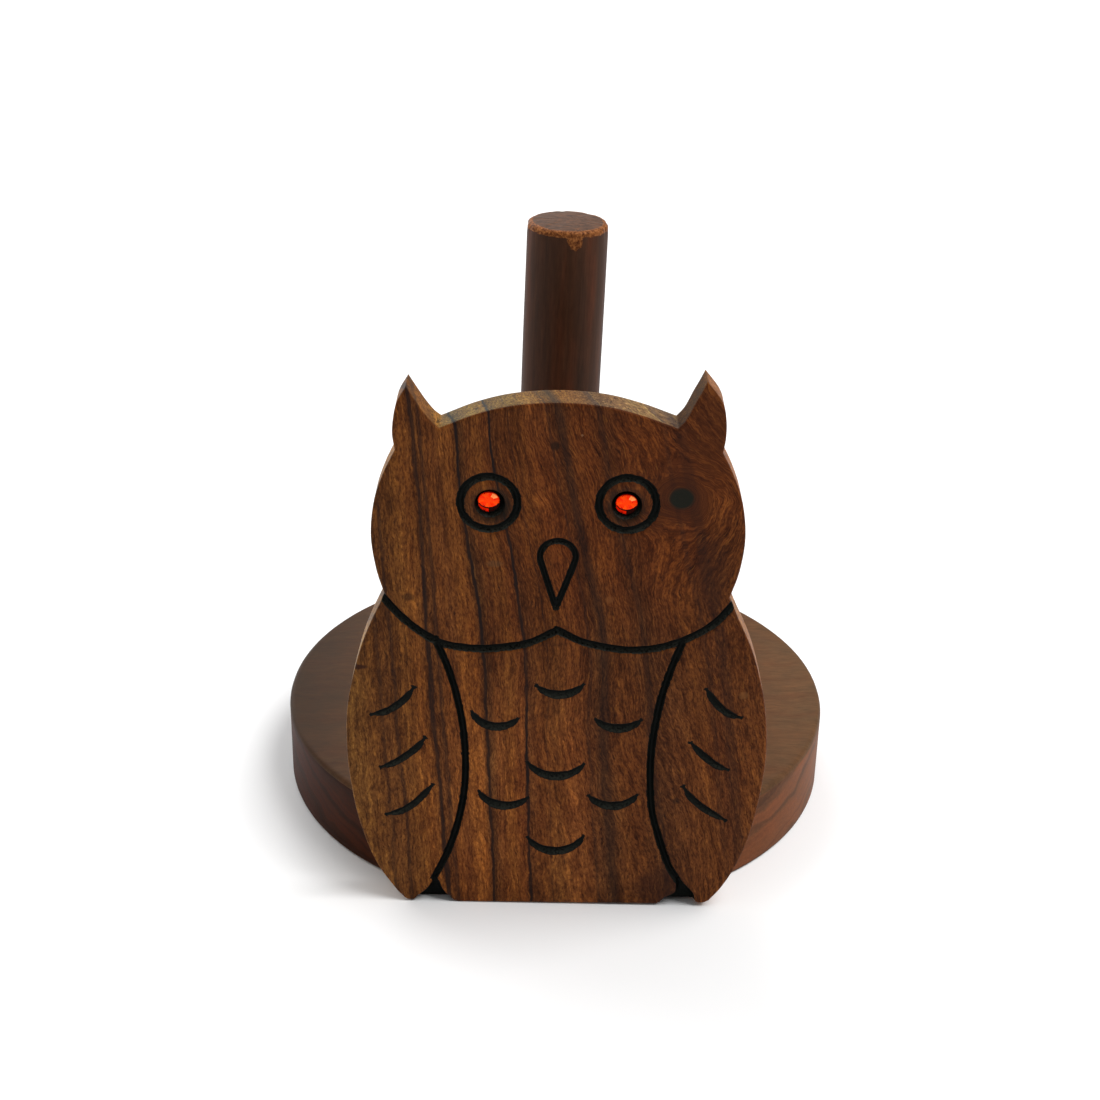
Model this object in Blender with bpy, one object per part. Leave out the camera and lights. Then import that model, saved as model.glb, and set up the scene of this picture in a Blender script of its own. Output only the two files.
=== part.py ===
"""Owl roll holder: a wooden owl board nailed to the front of a thick round base,
with an upright post for a roll of kitchen or tissue paper.

Metres, +Z up. The origin is the centre of the round base on its underside and
the owl faces -Y. The board and all that is fixed to it hang on one empty, the
post and its screw on another, because both were fitted slightly out of true.
"""

import math

import bpy
import bmesh
from mathutils import Vector
from mathutils.geometry import interpolate_bezier

MM = 0.001

# ---------------------------------------------------------------- sizes

FIT = 0.3 * MM                      # gap between any two pieces that touch

# Round base: a thick turned slab with a flat sawn off its front.
BASE_RADIUS = 89.0 * MM
BASE_THICKNESS = 25.8 * MM
BASE_FLAT_CUT = 13.3 * MM           # how much of the round the flat takes off
BASE_TOP_ROUND = 1.6 * MM
BASE_FOOT_ROUND = 1.0 * MM

# Post: a dowel in a blind socket, leaning a little to the owl's left.
POST_RADIUS = 12.15 * MM
POST_TOP = 187.2 * MM               # above the table
POST_TOP_ROUND = 1.4 * MM
POST_CROWN = 0.5 * MM               # rise of the slightly domed end
POST_LEAN = math.radians(1.35)
POST_SHIFT = -3.1 * MM              # along X, where the axis leaves the base
SOCKET_DEPTH = 12.0 * MM

# Countersunk screw, driven up through the base into the post.
SCREW_LENGTH = 36.0 * MM
SCREW_RADIUS = 2.1 * MM
SCREW_CORE = 1.5 * MM
SCREW_PITCH = 2.0 * MM
SCREW_HEAD_RADIUS = 4.2 * MM
SCREW_HEAD_HEIGHT = 2.6 * MM
SCREW_SINK = 1.0 * MM               # head top below the underside
SCREW_SLOT_WIDTH = 1.0 * MM
SCREW_SLOT_DEPTH = 1.1 * MM

# Owl board. Its pattern below is drawn in millimetres and stretched to this.
BOARD_WIDTH = 121.6 * MM            # across the wings
BOARD_HEIGHT = 161.4 * MM           # foot to the middle of the head, ears apart
BOARD_THICKNESS = 10.6 * MM
BOARD_ARRIS = 0.6 * MM              # softened edge
BOARD_TILT = math.radians(0.6)      # out of square, right side up
BOARD_SHIFT = 0.6 * MM

# Carving.
NECK_WIDTH, NECK_DEPTH = 2.3 * MM, 1.7 * MM
WING_WIDTH, WING_DEPTH = 2.0 * MM, 1.5 * MM
RING_WIDTH, RING_DEPTH = 1.9 * MM, 1.4 * MM
BEAK_WIDTH, BEAK_DEPTH = 1.7 * MM, 1.3 * MM
FEATHER_WIDTH, FEATHER_DEPTH = 2.6 * MM, 1.2 * MM
FOOT_RECESS_DEPTH = 3.0 * MM
RING_RADIUS = 7.8 * MM              # middle of the groove round each eye
EYE_SOCKET_RADIUS = 4.0 * MM
EYE_SOCKET_DEPTH = 3.2 * MM

# Eye stone: a cabochon glued on the floor of its socket.
GEM_RADIUS = 3.1 * MM
GEM_BACK_RISE = 0.9 * MM            # from the foiled back to the girdle
GEM_GIRDLE = 0.3 * MM               # straight rim
GEM_CROWN = 1.1 * MM                # from the girdle to the table
GEM_FACETS = 16

# Finish nails through the board into the base, sunk and filled.
NAIL_LENGTH = 30.0 * MM
NAIL_RADIUS = 0.9 * MM
NAIL_HEAD_RADIUS = 1.3 * MM
NAIL_HEAD_HEIGHT = 1.4 * MM
NAIL_POINT = 3.0 * MM
NAIL_SPREAD = 28.0 * MM             # outer nails from the middle one
NAIL_SHIFT = 0.8 * MM               # all three stand this far to the right of the middle
NAIL_OUTER_RISE = 1.5 * MM          # above half the base's thickness
NAIL_MIDDLE_DROP = 3.3 * MM         # below half the base's thickness
FILLER_RADIUS = 1.6 * MM
FILLER_DEPTH = 2.4 * MM

# ---------------------------------------------------------------- pattern
# Right half of the owl in millimetres: x from its middle line, z from its foot.
# A stretch is a smooth curve through its points, and stretches meet at corners.

PATTERN_WIDTH = 121.6
PATTERN_HEIGHT = 161.4

FOOT_CORNER = [(30.4, 0.0), (31.8, 0.3), (32.9, 0.5)]
WING_TIP = [(41.4, 0.5), (43.2, 0.4), (44.8, 0.5), (46.2, 1.4)]
WING_SIDE = [(46.2, 1.4), (52.2, 10.0), (56.0, 20.0), (59.4, 35.0), (60.8, 52.0),
             (59.6, 70.0), (54.3, 90.0), (49.6, 99.5), (47.9, 104.2)]
HEAD_SIDE = [(47.9, 104.2), (50.2, 112.0), (51.3, 122.0), (50.2, 132.0),
             (47.6, 140.0), (44.0, 147.5)]
EAR_OUTSIDE = [(44.0, 147.5), (44.6, 152.0), (44.3, 157.2), (42.9, 161.4)]
EAR_INSIDE = [(37.9, 162.8), (36.2, 159.8), (34.0, 156.3), (31.7, 154.2)]
HEAD_TOP = [(31.7, 154.2), (22.0, 158.0), (12.0, 160.5), (0.0, 161.4),
            (-12.0, 160.5), (-22.0, 158.0), (-31.7, 154.2)]
EAR_TIPS = {1: (38.9, 166.9), -1: (40.3, 164.4)}        # one ear is the taller

NECK_LINE = [(-0.3, 93.5), (5.0, 90.8), (11.0, 88.5), (21.5, 87.2), (30.5, 88.5),
             (38.0, 91.8), (44.0, 96.8), (48.5, 102.5), (50.0, 104.6)]
WING_LINE = [(34.6, 90.0), (31.3, 80.0), (28.6, 68.0), (27.0, 53.0), (27.4, 38.0),
             (30.0, 25.0), (33.6, 14.5), (36.8, 7.5)]
BEAK_CENTRE = (0.0, 116.2)
BEAK_RADIUS = 4.8
BEAK_TIP = (-0.3, 100.6)
EYE_CENTRE = (18.9, 132.3)
FOOT_RECESS = [(36.2, 10.0), (38.2, 6.6), (42.4, 1.4), (42.4, -2.0), (31.6, -2.0),
               (32.4, 1.4), (34.6, 3.8), (35.5, 7.0)]

CRESCENT_HALF_WIDTH = 7.7
CRESCENT_SAG = 4.1
CRESCENTS = [(0.6, 72.6), (17.6, 61.6), (-17.6, 61.6), (0.2, 45.1),
             (16.6, 34.9), (-15.2, 34.9), (0.2, 18.9)]  # lowest point of each

WING_MARK = [(0.0, 0.0), (2.3, -3.3), (5.2, -6.1), (8.4, -8.4), (12.0, -9.8)]
WING_MARK_TOPS = [(41.6, 74.9), (38.5, 57.6), (36.9, 42.0)]

# ---------------------------------------------------------------- looks

SHEESHAM_BOARD = ((0.115, 0.040, 0.016, 1.0), 0.45, 0.0)
SHEESHAM_BASE = ((0.125, 0.062, 0.042, 1.0), 0.50, 0.0)
SHEESHAM_POST = ((0.075, 0.036, 0.025, 1.0), 0.50, 0.0)
RED_GLASS = ((0.900, 0.060, 0.006, 1.0), 0.08, 0.0)
NAIL_STEEL = ((0.420, 0.410, 0.400, 1.0), 0.40, 1.0)
WOOD_FILLER = ((0.070, 0.034, 0.016, 1.0), 0.75, 0.0)
ZINC_STEEL = ((0.550, 0.530, 0.480, 1.0), 0.35, 1.0)

ROUND_SEGMENTS = 80
POST_SEGMENTS = 40
SMALL_SEGMENTS = 16
CURVE_STEPS = 3
GOUGE_SEGMENTS = 3                  # round a groove's cross-section
RING_SEGMENTS = 30
CRESCENT_SEGMENTS = 10
CUTTER_RISE = 1.5 * MM              # how far a cutter stands out of the face
SMOOTH_ANGLE = math.radians(35)

# ---------------------------------------------------------------- places

FLAT_Y = -(BASE_RADIUS - BASE_FLAT_CUT)
POST_BOTTOM = -SOCKET_DEPTH + FIT   # along the post's axis, from the base's top
SCREW_HEAD_FACE = -BASE_THICKNESS + SCREW_SINK


# ---------------------------------------------------------------- helpers

def clear_scene():
    for old in list(bpy.data.objects):
        bpy.data.objects.remove(old, do_unlink=True)


def material(name, look):
    colour, roughness, metallic = look
    made = bpy.data.materials.new(name)
    made.use_nodes = True
    shader = made.node_tree.nodes["Principled BSDF"]
    shader.inputs["Base Color"].default_value = colour
    shader.inputs["Roughness"].default_value = roughness
    shader.inputs["Metallic"].default_value = metallic
    return made


def add_empty(name, location, turn_y):
    empty = bpy.data.objects.new(name, None)
    bpy.context.collection.objects.link(empty)
    empty.location = location
    empty.rotation_euler = (0.0, turn_y, 0.0)
    return empty


def add_object(name, shape, parent=None, location=(0.0, 0.0, 0.0), depthwise=False):
    """Turn a bmesh into an object. depthwise points its +Z into the board, along +Y."""
    bmesh.ops.recalc_face_normals(shape, faces=shape.faces)
    mesh = bpy.data.meshes.new(name)
    shape.to_mesh(mesh)
    shape.free()
    mesh.shade_smooth()
    mesh.set_sharp_from_angle(angle=SMOOTH_ANGLE)
    made = bpy.data.objects.new(name, mesh)
    bpy.context.collection.objects.link(made)
    made.parent = parent
    made.location = location
    if depthwise:
        made.rotation_euler = (-math.pi / 2, 0.0, 0.0)
    return made


def cut(target, cutter):
    """Cut one object with another, which stays as a hidden guide."""
    cutter.hide_render = True
    cutter.display_type = "WIRE"
    boolean = target.modifiers.new(cutter.name, "BOOLEAN")
    boolean.operation = "DIFFERENCE"
    boolean.solver = "EXACT"
    boolean.object = cutter


def turned(profile, segments):
    """Turn a profile of (radius, height) points round the Z axis; it ends on the axis."""
    shape = bmesh.new()
    rings = []
    for radius, height in profile:
        if radius == 0.0:
            rings.append([shape.verts.new((0.0, 0.0, height))])
            continue
        angles = (2 * math.pi * step / segments for step in range(segments))
        rings.append([shape.verts.new((radius * math.cos(a), radius * math.sin(a), height))
                      for a in angles])
    for low, high in zip(rings, rings[1:]):
        for step in range(segments):
            following = (step + 1) % segments
            corners = [low[step % len(low)], low[following % len(low)],
                       high[following % len(high)], high[step % len(high)]]
            shape.faces.new(list(dict.fromkeys(corners)))
    return shape


def quarter_round(radius, height, round_radius, steps, upward):
    """Profile points of a rounded edge, from the outer wall inwards or the reverse."""
    points = []
    for step in range(steps + 1):
        angle = math.pi / 2 * step / steps
        inward = round_radius * (1 - math.cos(angle))
        rise = round_radius * math.sin(angle)
        points.append((radius - inward, height + (rise if upward else -rise)))
    return points if upward else points[::-1]


def smooth(points, steps=CURVE_STEPS):
    """Points along a curve through the given ones, both ends included."""
    knots = [Vector(point) for point in points]
    guided = [knots[0] * 2 - knots[1]] + knots + [knots[-1] * 2 - knots[-2]]
    line = []
    for before, start, stop, after in zip(guided, guided[1:], guided[2:], guided[3:]):
        line += interpolate_bezier(start, start + (stop - before) / 6,
                                   stop - (after - start) / 6, stop, steps + 1)[:-1]
    return [Vector(point[:2]) for point in line] + [knots[-1]]


def on_board(point):
    """Pattern millimetres to metres on the board."""
    return Vector((point[0] * BOARD_WIDTH / PATTERN_WIDTH,
                   point[1] * BOARD_HEIGHT / PATTERN_HEIGHT))


def mirrored(points, side):
    return [Vector((point[0] * side, point[1])) for point in points]


# ---------------------------------------------------------------- carving tools

def prism(outline, near, far):
    """Extrude an outline of (x, z) points from y = near to y = far."""
    shape = bmesh.new()
    face = shape.faces.new([shape.verts.new((x, near, z)) for x, z in outline])
    grown = bmesh.ops.extrude_face_region(shape, geom=[face])
    moved = [item for item in grown["geom"] if isinstance(item, bmesh.types.BMVert)]
    bmesh.ops.translate(shape, verts=moved, vec=(0.0, far - near, 0.0))
    return shape


def groove(line, width, depth, closed=False, pointed=False):
    """A gouge's path: half-round below the board's face, upright above it.

    pointed makes a feather cut, which swells from nothing and fades out again.
    """
    shape = bmesh.new()
    count = len(line)
    face = -BOARD_THICKNESS
    rings = []
    for index, place in enumerate(line):
        if closed:
            ahead = line[(index + 1) % count] - line[index - 1]
        else:
            ahead = line[min(index + 1, count - 1)] - line[max(index - 1, 0)]
        across = Vector((-ahead.y, ahead.x)).normalized()
        swell = 1.0
        if pointed:
            swell = max(0.12, math.sin(math.pi * index / (count - 1)) ** 0.7)
        half = width / 2 * swell
        ring = [(half, face - CUTTER_RISE)]
        for step in range(GOUGE_SEGMENTS + 1):
            angle = math.pi * step / GOUGE_SEGMENTS
            ring.append((half * math.cos(angle), face + depth * swell * math.sin(angle)))
        ring.append((-half, face - CUTTER_RISE))
        rings.append([shape.verts.new((place.x + across.x * aside, y, place.y + across.y * aside))
                      for aside, y in ring])
    pairs = list(zip(rings, rings[1:]))
    if closed:
        pairs.append((rings[-1], rings[0]))
    for near, far in pairs:
        for step in range(len(near)):
            following = (step + 1) % len(near)
            shape.faces.new([near[step], near[following], far[following], far[step]])
    if not closed:
        shape.faces.new(rings[0])
        shape.faces.new(rings[-1])
    return shape


# ---------------------------------------------------------------- base and post

def make_base(board_frame, post_frame):
    profile = [(0.0, 0.0)]
    profile += quarter_round(BASE_RADIUS, BASE_FOOT_ROUND, BASE_FOOT_ROUND, 2, upward=False)
    profile += quarter_round(BASE_RADIUS, BASE_THICKNESS - BASE_TOP_ROUND, BASE_TOP_ROUND, 3,
                             upward=True)
    profile.append((0.0, BASE_THICKNESS))
    base = add_object("base_disc", turned(profile, ROUND_SEGMENTS))
    base.data.materials.append(material("base_wood", SHEESHAM_BASE))

    reach = BASE_RADIUS * 1.2
    corners = [(-reach, -reach), (reach, -reach), (reach, reach), (-reach, reach)]
    saw = add_object("base_flat_cutter", prism(corners, FLAT_Y - reach, FLAT_Y))
    cut(base, saw)

    socket_radius = POST_RADIUS + FIT
    hole_radius = SCREW_RADIUS + FIT
    head_radius = SCREW_HEAD_RADIUS + FIT
    below = -BASE_THICKNESS - SCREW_SINK
    sunk = SCREW_HEAD_FACE + FIT
    socket = [(0.0, below), (head_radius, below), (head_radius, sunk),
              (hole_radius, sunk + SCREW_HEAD_HEIGHT), (hole_radius, -SOCKET_DEPTH),
              (socket_radius, -SOCKET_DEPTH), (socket_radius, SOCKET_DEPTH), (0.0, SOCKET_DEPTH)]
    cut(base, add_object("base_socket_cutter", turned(socket, POST_SEGMENTS), post_frame))

    for side_name, x, z in nail_places():
        depth = NAIL_LENGTH + FILLER_DEPTH + 2 * FIT
        drill = [(0.0, 0.0), (NAIL_RADIUS + FIT, 0.0), (NAIL_RADIUS + FIT, depth), (0.0, depth)]
        cutter = add_object("base_nail_cutter_" + side_name, turned(drill, SMALL_SEGMENTS // 2),
                            board_frame, (x, -BOARD_THICKNESS, z), depthwise=True)
        cut(base, cutter)
    return base


def make_post(post_frame):
    """The dowel: drilled for its screw below, rounded and slightly domed on top."""
    top = (POST_TOP - BASE_THICKNESS) / math.cos(POST_LEAN) - POST_CROWN
    bore_radius = SCREW_RADIUS + FIT
    bore_top = SCREW_HEAD_FACE + SCREW_LENGTH + FIT
    profile = [(0.0, bore_top), (bore_radius, bore_top - bore_radius),
               (bore_radius, POST_BOTTOM), (POST_RADIUS, POST_BOTTOM)]
    profile += quarter_round(POST_RADIUS, top - POST_TOP_ROUND, POST_TOP_ROUND, 4, upward=True)
    flat = POST_RADIUS - POST_TOP_ROUND
    profile += [(flat * 0.5, top + POST_CROWN * 0.75), (0.0, top + POST_CROWN)]
    post = add_object("roll_post", turned(profile, POST_SEGMENTS), post_frame)
    post.data.materials.append(material("post_wood", SHEESHAM_POST))
    return post


def make_screw(post_frame):
    """Wood screw with a slotted countersunk head; its thread is drawn as closed rings."""
    head_top = SCREW_HEAD_FACE
    neck = head_top + SCREW_HEAD_HEIGHT
    tip = head_top + SCREW_LENGTH
    thread_start = neck + (SCREW_LENGTH - SCREW_HEAD_HEIGHT) / 3
    profile = [(0.0, head_top), (SCREW_HEAD_RADIUS, head_top), (SCREW_RADIUS, neck),
               (SCREW_RADIUS, thread_start)]
    turns = int((tip - 2 * SCREW_PITCH - thread_start) / SCREW_PITCH)
    for turn in range(turns):
        start = thread_start + turn * SCREW_PITCH
        profile += [(SCREW_CORE, start + SCREW_PITCH * 0.35), (SCREW_CORE, start + SCREW_PITCH * 0.65),
                    (SCREW_RADIUS, start + SCREW_PITCH)]
    profile += [(SCREW_CORE, tip - 1.5 * SCREW_PITCH), (0.0, tip)]
    screw = add_object("post_screw", turned(profile, SMALL_SEGMENTS), post_frame)
    screw.data.materials.append(material("screw_steel", ZINC_STEEL))

    half = SCREW_SLOT_WIDTH / 2
    reach = SCREW_HEAD_RADIUS * 1.5
    slot = [(-half, head_top - FIT * 2), (half, head_top - FIT * 2),
            (half, head_top + SCREW_SLOT_DEPTH), (-half, head_top + SCREW_SLOT_DEPTH)]
    cut(screw, add_object("screw_slot_cutter", prism(slot, -reach, reach), post_frame))
    return screw


# ---------------------------------------------------------------- owl board

def nail_places():
    middle = BASE_THICKNESS / 2
    outer = middle + NAIL_OUTER_RISE
    return (("left", NAIL_SHIFT - NAIL_SPREAD, outer),
            ("centre", NAIL_SHIFT, middle - NAIL_MIDDLE_DROP),
            ("right", NAIL_SHIFT + NAIL_SPREAD, outer))


def flank(side):
    """One side of the outline, from the foot up to the dip inside the ear."""
    tip = EAR_TIPS[side]
    stretches = (FOOT_CORNER, WING_TIP, WING_SIDE, HEAD_SIDE, EAR_OUTSIDE + [tip],
                 [tip] + EAR_INSIDE)
    line = []
    for stretch in stretches:
        line += smooth(stretch)
    distinct = [point for point, after in zip(line, line[1:]) if (point - after).length > 0.05]
    return mirrored(distinct, side)


def make_board(board_frame):
    outline = flank(1) + smooth(HEAD_TOP) + flank(-1)[::-1]
    outline = [on_board(point) for point in outline]
    shape = prism(outline, 0.0, -BOARD_THICKNESS)
    rims = [edge for edge in shape.edges
            if abs(edge.verts[0].co.y - edge.verts[1].co.y) < BOARD_THICKNESS / 2]
    bmesh.ops.bevel(shape, geom=rims, offset=BOARD_ARRIS, segments=2, profile=0.5,
                    affect="EDGES", clamp_overlap=True)
    board = add_object("owl_board", shape, board_frame)
    board.data.materials.append(material("board_wood", SHEESHAM_BOARD))

    for name, cutter in carving():
        cut(board, add_object("carve_" + name, cutter, board_frame))
    for name, x, z in eye_places():
        bore = [(0.0, -CUTTER_RISE), (EYE_SOCKET_RADIUS, -CUTTER_RISE),
                (EYE_SOCKET_RADIUS, EYE_SOCKET_DEPTH), (0.0, EYE_SOCKET_DEPTH)]
        cut(board, add_object("eye_cutter_" + name, turned(bore, SMALL_SEGMENTS), board_frame,
                              (x, -BOARD_THICKNESS, z), depthwise=True))
    for name, x, z in nail_places():
        wide = max(FILLER_RADIUS, NAIL_HEAD_RADIUS) + FIT
        slim = NAIL_RADIUS + FIT
        shoulder = FILLER_DEPTH + NAIL_HEAD_HEIGHT + 2 * FIT
        through = BOARD_THICKNESS + CUTTER_RISE
        bore = [(0.0, -CUTTER_RISE), (wide, -CUTTER_RISE), (wide, shoulder), (slim, shoulder),
                (slim, through), (0.0, through)]
        cut(board, add_object("nail_cutter_" + name, turned(bore, SMALL_SEGMENTS // 2), board_frame,
                              (x, -BOARD_THICKNESS, z), depthwise=True))
    return board


def carving():
    """Name and cutter of every carved line on the board's face."""
    for side, side_name in ((1, "right"), (-1, "left")):
        neck = mirrored(smooth(NECK_LINE), side)
        yield "neck_" + side_name, groove(list(map(on_board, neck)), NECK_WIDTH, NECK_DEPTH)
        wing = mirrored(smooth(WING_LINE), side)
        yield "wing_" + side_name, groove(list(map(on_board, wing)), WING_WIDTH, WING_DEPTH)
        yield "beak_" + side_name, groove(beak_half(side), BEAK_WIDTH, BEAK_DEPTH)
        yield "ring_" + side_name, groove(eye_ring(side), RING_WIDTH, RING_DEPTH, closed=True)
        recess = mirrored([Vector(point) for point in FOOT_RECESS], side)
        yield "foot_" + side_name, prism(list(map(on_board, recess)),
                                         -BOARD_THICKNESS - CUTTER_RISE,
                                         -BOARD_THICKNESS + FOOT_RECESS_DEPTH)
        for row, (top_x, top_z) in enumerate(WING_MARK_TOPS):
            mark = [(top_x + x, top_z + z) for x, z in WING_MARK]
            line = [on_board(point) for point in mirrored(smooth(mark), side)]
            yield f"mark_{side_name}_{row}", groove(line, FEATHER_WIDTH, FEATHER_DEPTH, pointed=True)
    for row, lowest in enumerate(CRESCENTS):
        yield f"crescent_{row}", groove(crescent(lowest), FEATHER_WIDTH, FEATHER_DEPTH, pointed=True)


def beak_half(side):
    """Half of the teardrop: up from its point and round its top, a little past the middle."""
    centre = Vector(BEAK_CENTRE)
    line = [Vector(BEAK_TIP), Vector(BEAK_TIP).lerp(centre + Vector((side * BEAK_RADIUS, -3.0)), 0.5)]
    for step in range(10):
        angle = math.radians(-20 + 13 * step)
        line.append(centre + BEAK_RADIUS * Vector((side * math.cos(angle), math.sin(angle))))
    return [on_board(point) for point in line]


def eye_ring(side):
    centre = on_board((EYE_CENTRE[0] * side, EYE_CENTRE[1]))
    angles = [2 * math.pi * step / RING_SEGMENTS for step in range(RING_SEGMENTS)]
    return [centre + RING_RADIUS * Vector((math.cos(a), math.sin(a))) for a in angles]


def crescent(lowest):
    """A smile-shaped feather cut whose lowest point is given."""
    line = []
    for step in range(CRESCENT_SEGMENTS + 1):
        across = 2 * step / CRESCENT_SEGMENTS - 1
        line.append(on_board((lowest[0] + across * CRESCENT_HALF_WIDTH,
                              lowest[1] + CRESCENT_SAG * across ** 2)))
    return line


def eye_places():
    for name, side in (("right", 1), ("left", -1)):
        place = on_board((EYE_CENTRE[0] * side, EYE_CENTRE[1]))
        yield name, place.x, place.y


# ---------------------------------------------------------------- what the board holds

def make_gems(board_frame):
    """Cut stones with a flat table; the depth runs from the board's face into it."""
    back = EYE_SOCKET_DEPTH - FIT
    girdle = back - GEM_BACK_RISE
    crown = girdle - GEM_GIRDLE
    table = crown - GEM_CROWN
    for name, x, z in eye_places():
        profile = [(0.0, back), (GEM_RADIUS * 0.55, back), (GEM_RADIUS, girdle),
                   (GEM_RADIUS, crown), (GEM_RADIUS * 0.88, crown - GEM_CROWN * 0.6),
                   (GEM_RADIUS * 0.66, table), (0.0, table)]
        gem = add_object("eye_gem_" + name, turned(profile, GEM_FACETS), board_frame,
                         (x, -BOARD_THICKNESS, z), depthwise=True)
        gem.data.materials.append(material("gem_glass_" + name, RED_GLASS))


def make_nails(board_frame):
    head = FILLER_DEPTH + FIT
    neck = head + NAIL_HEAD_HEIGHT
    tip = head + NAIL_LENGTH
    for name, x, z in nail_places():
        place = (x, -BOARD_THICKNESS, z)
        profile = [(0.0, head), (NAIL_HEAD_RADIUS, head), (NAIL_HEAD_RADIUS, neck - FIT),
                   (NAIL_RADIUS, neck), (NAIL_RADIUS, tip - NAIL_POINT), (0.0, tip)]
        nail = add_object("board_nail_" + name, turned(profile, SMALL_SEGMENTS // 2),
                          board_frame, place, depthwise=True)
        nail.data.materials.append(material("nail_steel_" + name, NAIL_STEEL))
        plug = [(0.0, 0.0), (FILLER_RADIUS, 0.0), (FILLER_RADIUS, FILLER_DEPTH), (0.0, FILLER_DEPTH)]
        filler = add_object("nail_filler_" + name, turned(plug, SMALL_SEGMENTS // 2),
                            board_frame, place, depthwise=True)
        filler.data.materials.append(material("filler_" + name, WOOD_FILLER))


# ---------------------------------------------------------------- assembly

def build():
    clear_scene()
    foot_lift = FOOT_CORNER[0][0] * BOARD_WIDTH / PATTERN_WIDTH * math.sin(BOARD_TILT)
    board_frame = add_empty("board_frame", (BOARD_SHIFT, FLAT_Y - FIT, foot_lift), -BOARD_TILT)
    post_frame = add_empty("post_frame", (POST_SHIFT, 0.0, BASE_THICKNESS), POST_LEAN)
    make_base(board_frame, post_frame)
    make_post(post_frame)
    make_screw(post_frame)
    make_board(board_frame)
    make_gems(board_frame)
    make_nails(board_frame)


build()
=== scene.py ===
"""Looks of the owl roll holder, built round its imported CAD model.

The owl board, the base, the post, the eye stones and the nail fillers get
finer pieces of their own. The nails and the screw stay as the CAD made them.
Shapes are drawn in millimetres in the frame of the piece they belong to.
"""

import math

import bpy
import numpy as np
from mathutils import Matrix, Vector, noise
from mathutils.geometry import delaunay_2d_cdt, interpolate_bezier


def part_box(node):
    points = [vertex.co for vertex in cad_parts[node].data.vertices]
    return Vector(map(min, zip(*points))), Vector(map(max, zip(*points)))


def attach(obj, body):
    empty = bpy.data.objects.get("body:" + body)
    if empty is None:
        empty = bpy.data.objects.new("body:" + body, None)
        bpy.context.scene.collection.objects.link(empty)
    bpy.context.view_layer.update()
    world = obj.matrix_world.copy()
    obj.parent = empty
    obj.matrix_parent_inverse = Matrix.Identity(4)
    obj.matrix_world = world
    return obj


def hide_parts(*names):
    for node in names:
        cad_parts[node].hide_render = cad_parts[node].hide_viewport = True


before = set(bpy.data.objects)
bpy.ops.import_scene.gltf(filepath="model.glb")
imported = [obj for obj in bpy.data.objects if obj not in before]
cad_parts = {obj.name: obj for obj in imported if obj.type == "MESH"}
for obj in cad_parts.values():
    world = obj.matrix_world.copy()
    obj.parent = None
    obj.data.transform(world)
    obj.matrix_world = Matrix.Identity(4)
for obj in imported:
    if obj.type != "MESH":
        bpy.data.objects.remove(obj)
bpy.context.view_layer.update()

SCENE = bpy.context.scene
MM = 0.001

# ---------------------------------------------------------------- places
# Sizes are in millimetres and angles in radians, unless a comment says otherwise.

BASE_LOW, BASE_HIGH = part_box("base_disc")
BOARD_LOW, BOARD_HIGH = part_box("owl_board")
POST_LOW, POST_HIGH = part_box("roll_post")

BASE_RADIUS = BASE_HIGH.y / MM
BASE_THICKNESS = BASE_HIGH.z / MM
BASE_FLAT = BASE_LOW.y / MM                 # where the flat for the board is
BOARD_THICKNESS = (BOARD_HIGH.y - BOARD_LOW.y) / MM
BOARD_TILT = math.radians(0.6)              # out of square, right side up
BOARD_SHIFT = 0.6
BOARD_LIFT = 0.318                          # so that the tilted board's lowest corner is at 0
POST_RADIUS = 12.15
POST_LEAN = math.radians(1.35)
POST_SHIFT = -3.1                           # where its axis leaves the base, along x
POST_LENGTH = POST_HIGH.z / MM - BASE_THICKNESS
SOCKET_DEPTH = BASE_THICKNESS - POST_LOW.z / MM

BOARD_FRAME = (Matrix.Translation((BOARD_SHIFT * MM, BOARD_HIGH.y, BOARD_LIFT * MM))
               @ Matrix.Rotation(-BOARD_TILT, 4, "Y"))
POST_FRAME = (Matrix.Translation((POST_SHIFT * MM, 0.0, BASE_HIGH.z))
              @ Matrix.Rotation(POST_LEAN, 4, "Y"))

# ---------------------------------------------------------------- owl pattern
# Millimetres on the board: x to the right of its middle line, z up from its foot.
# A stretch is a smooth curve through its points, and stretches meet at corners.

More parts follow.
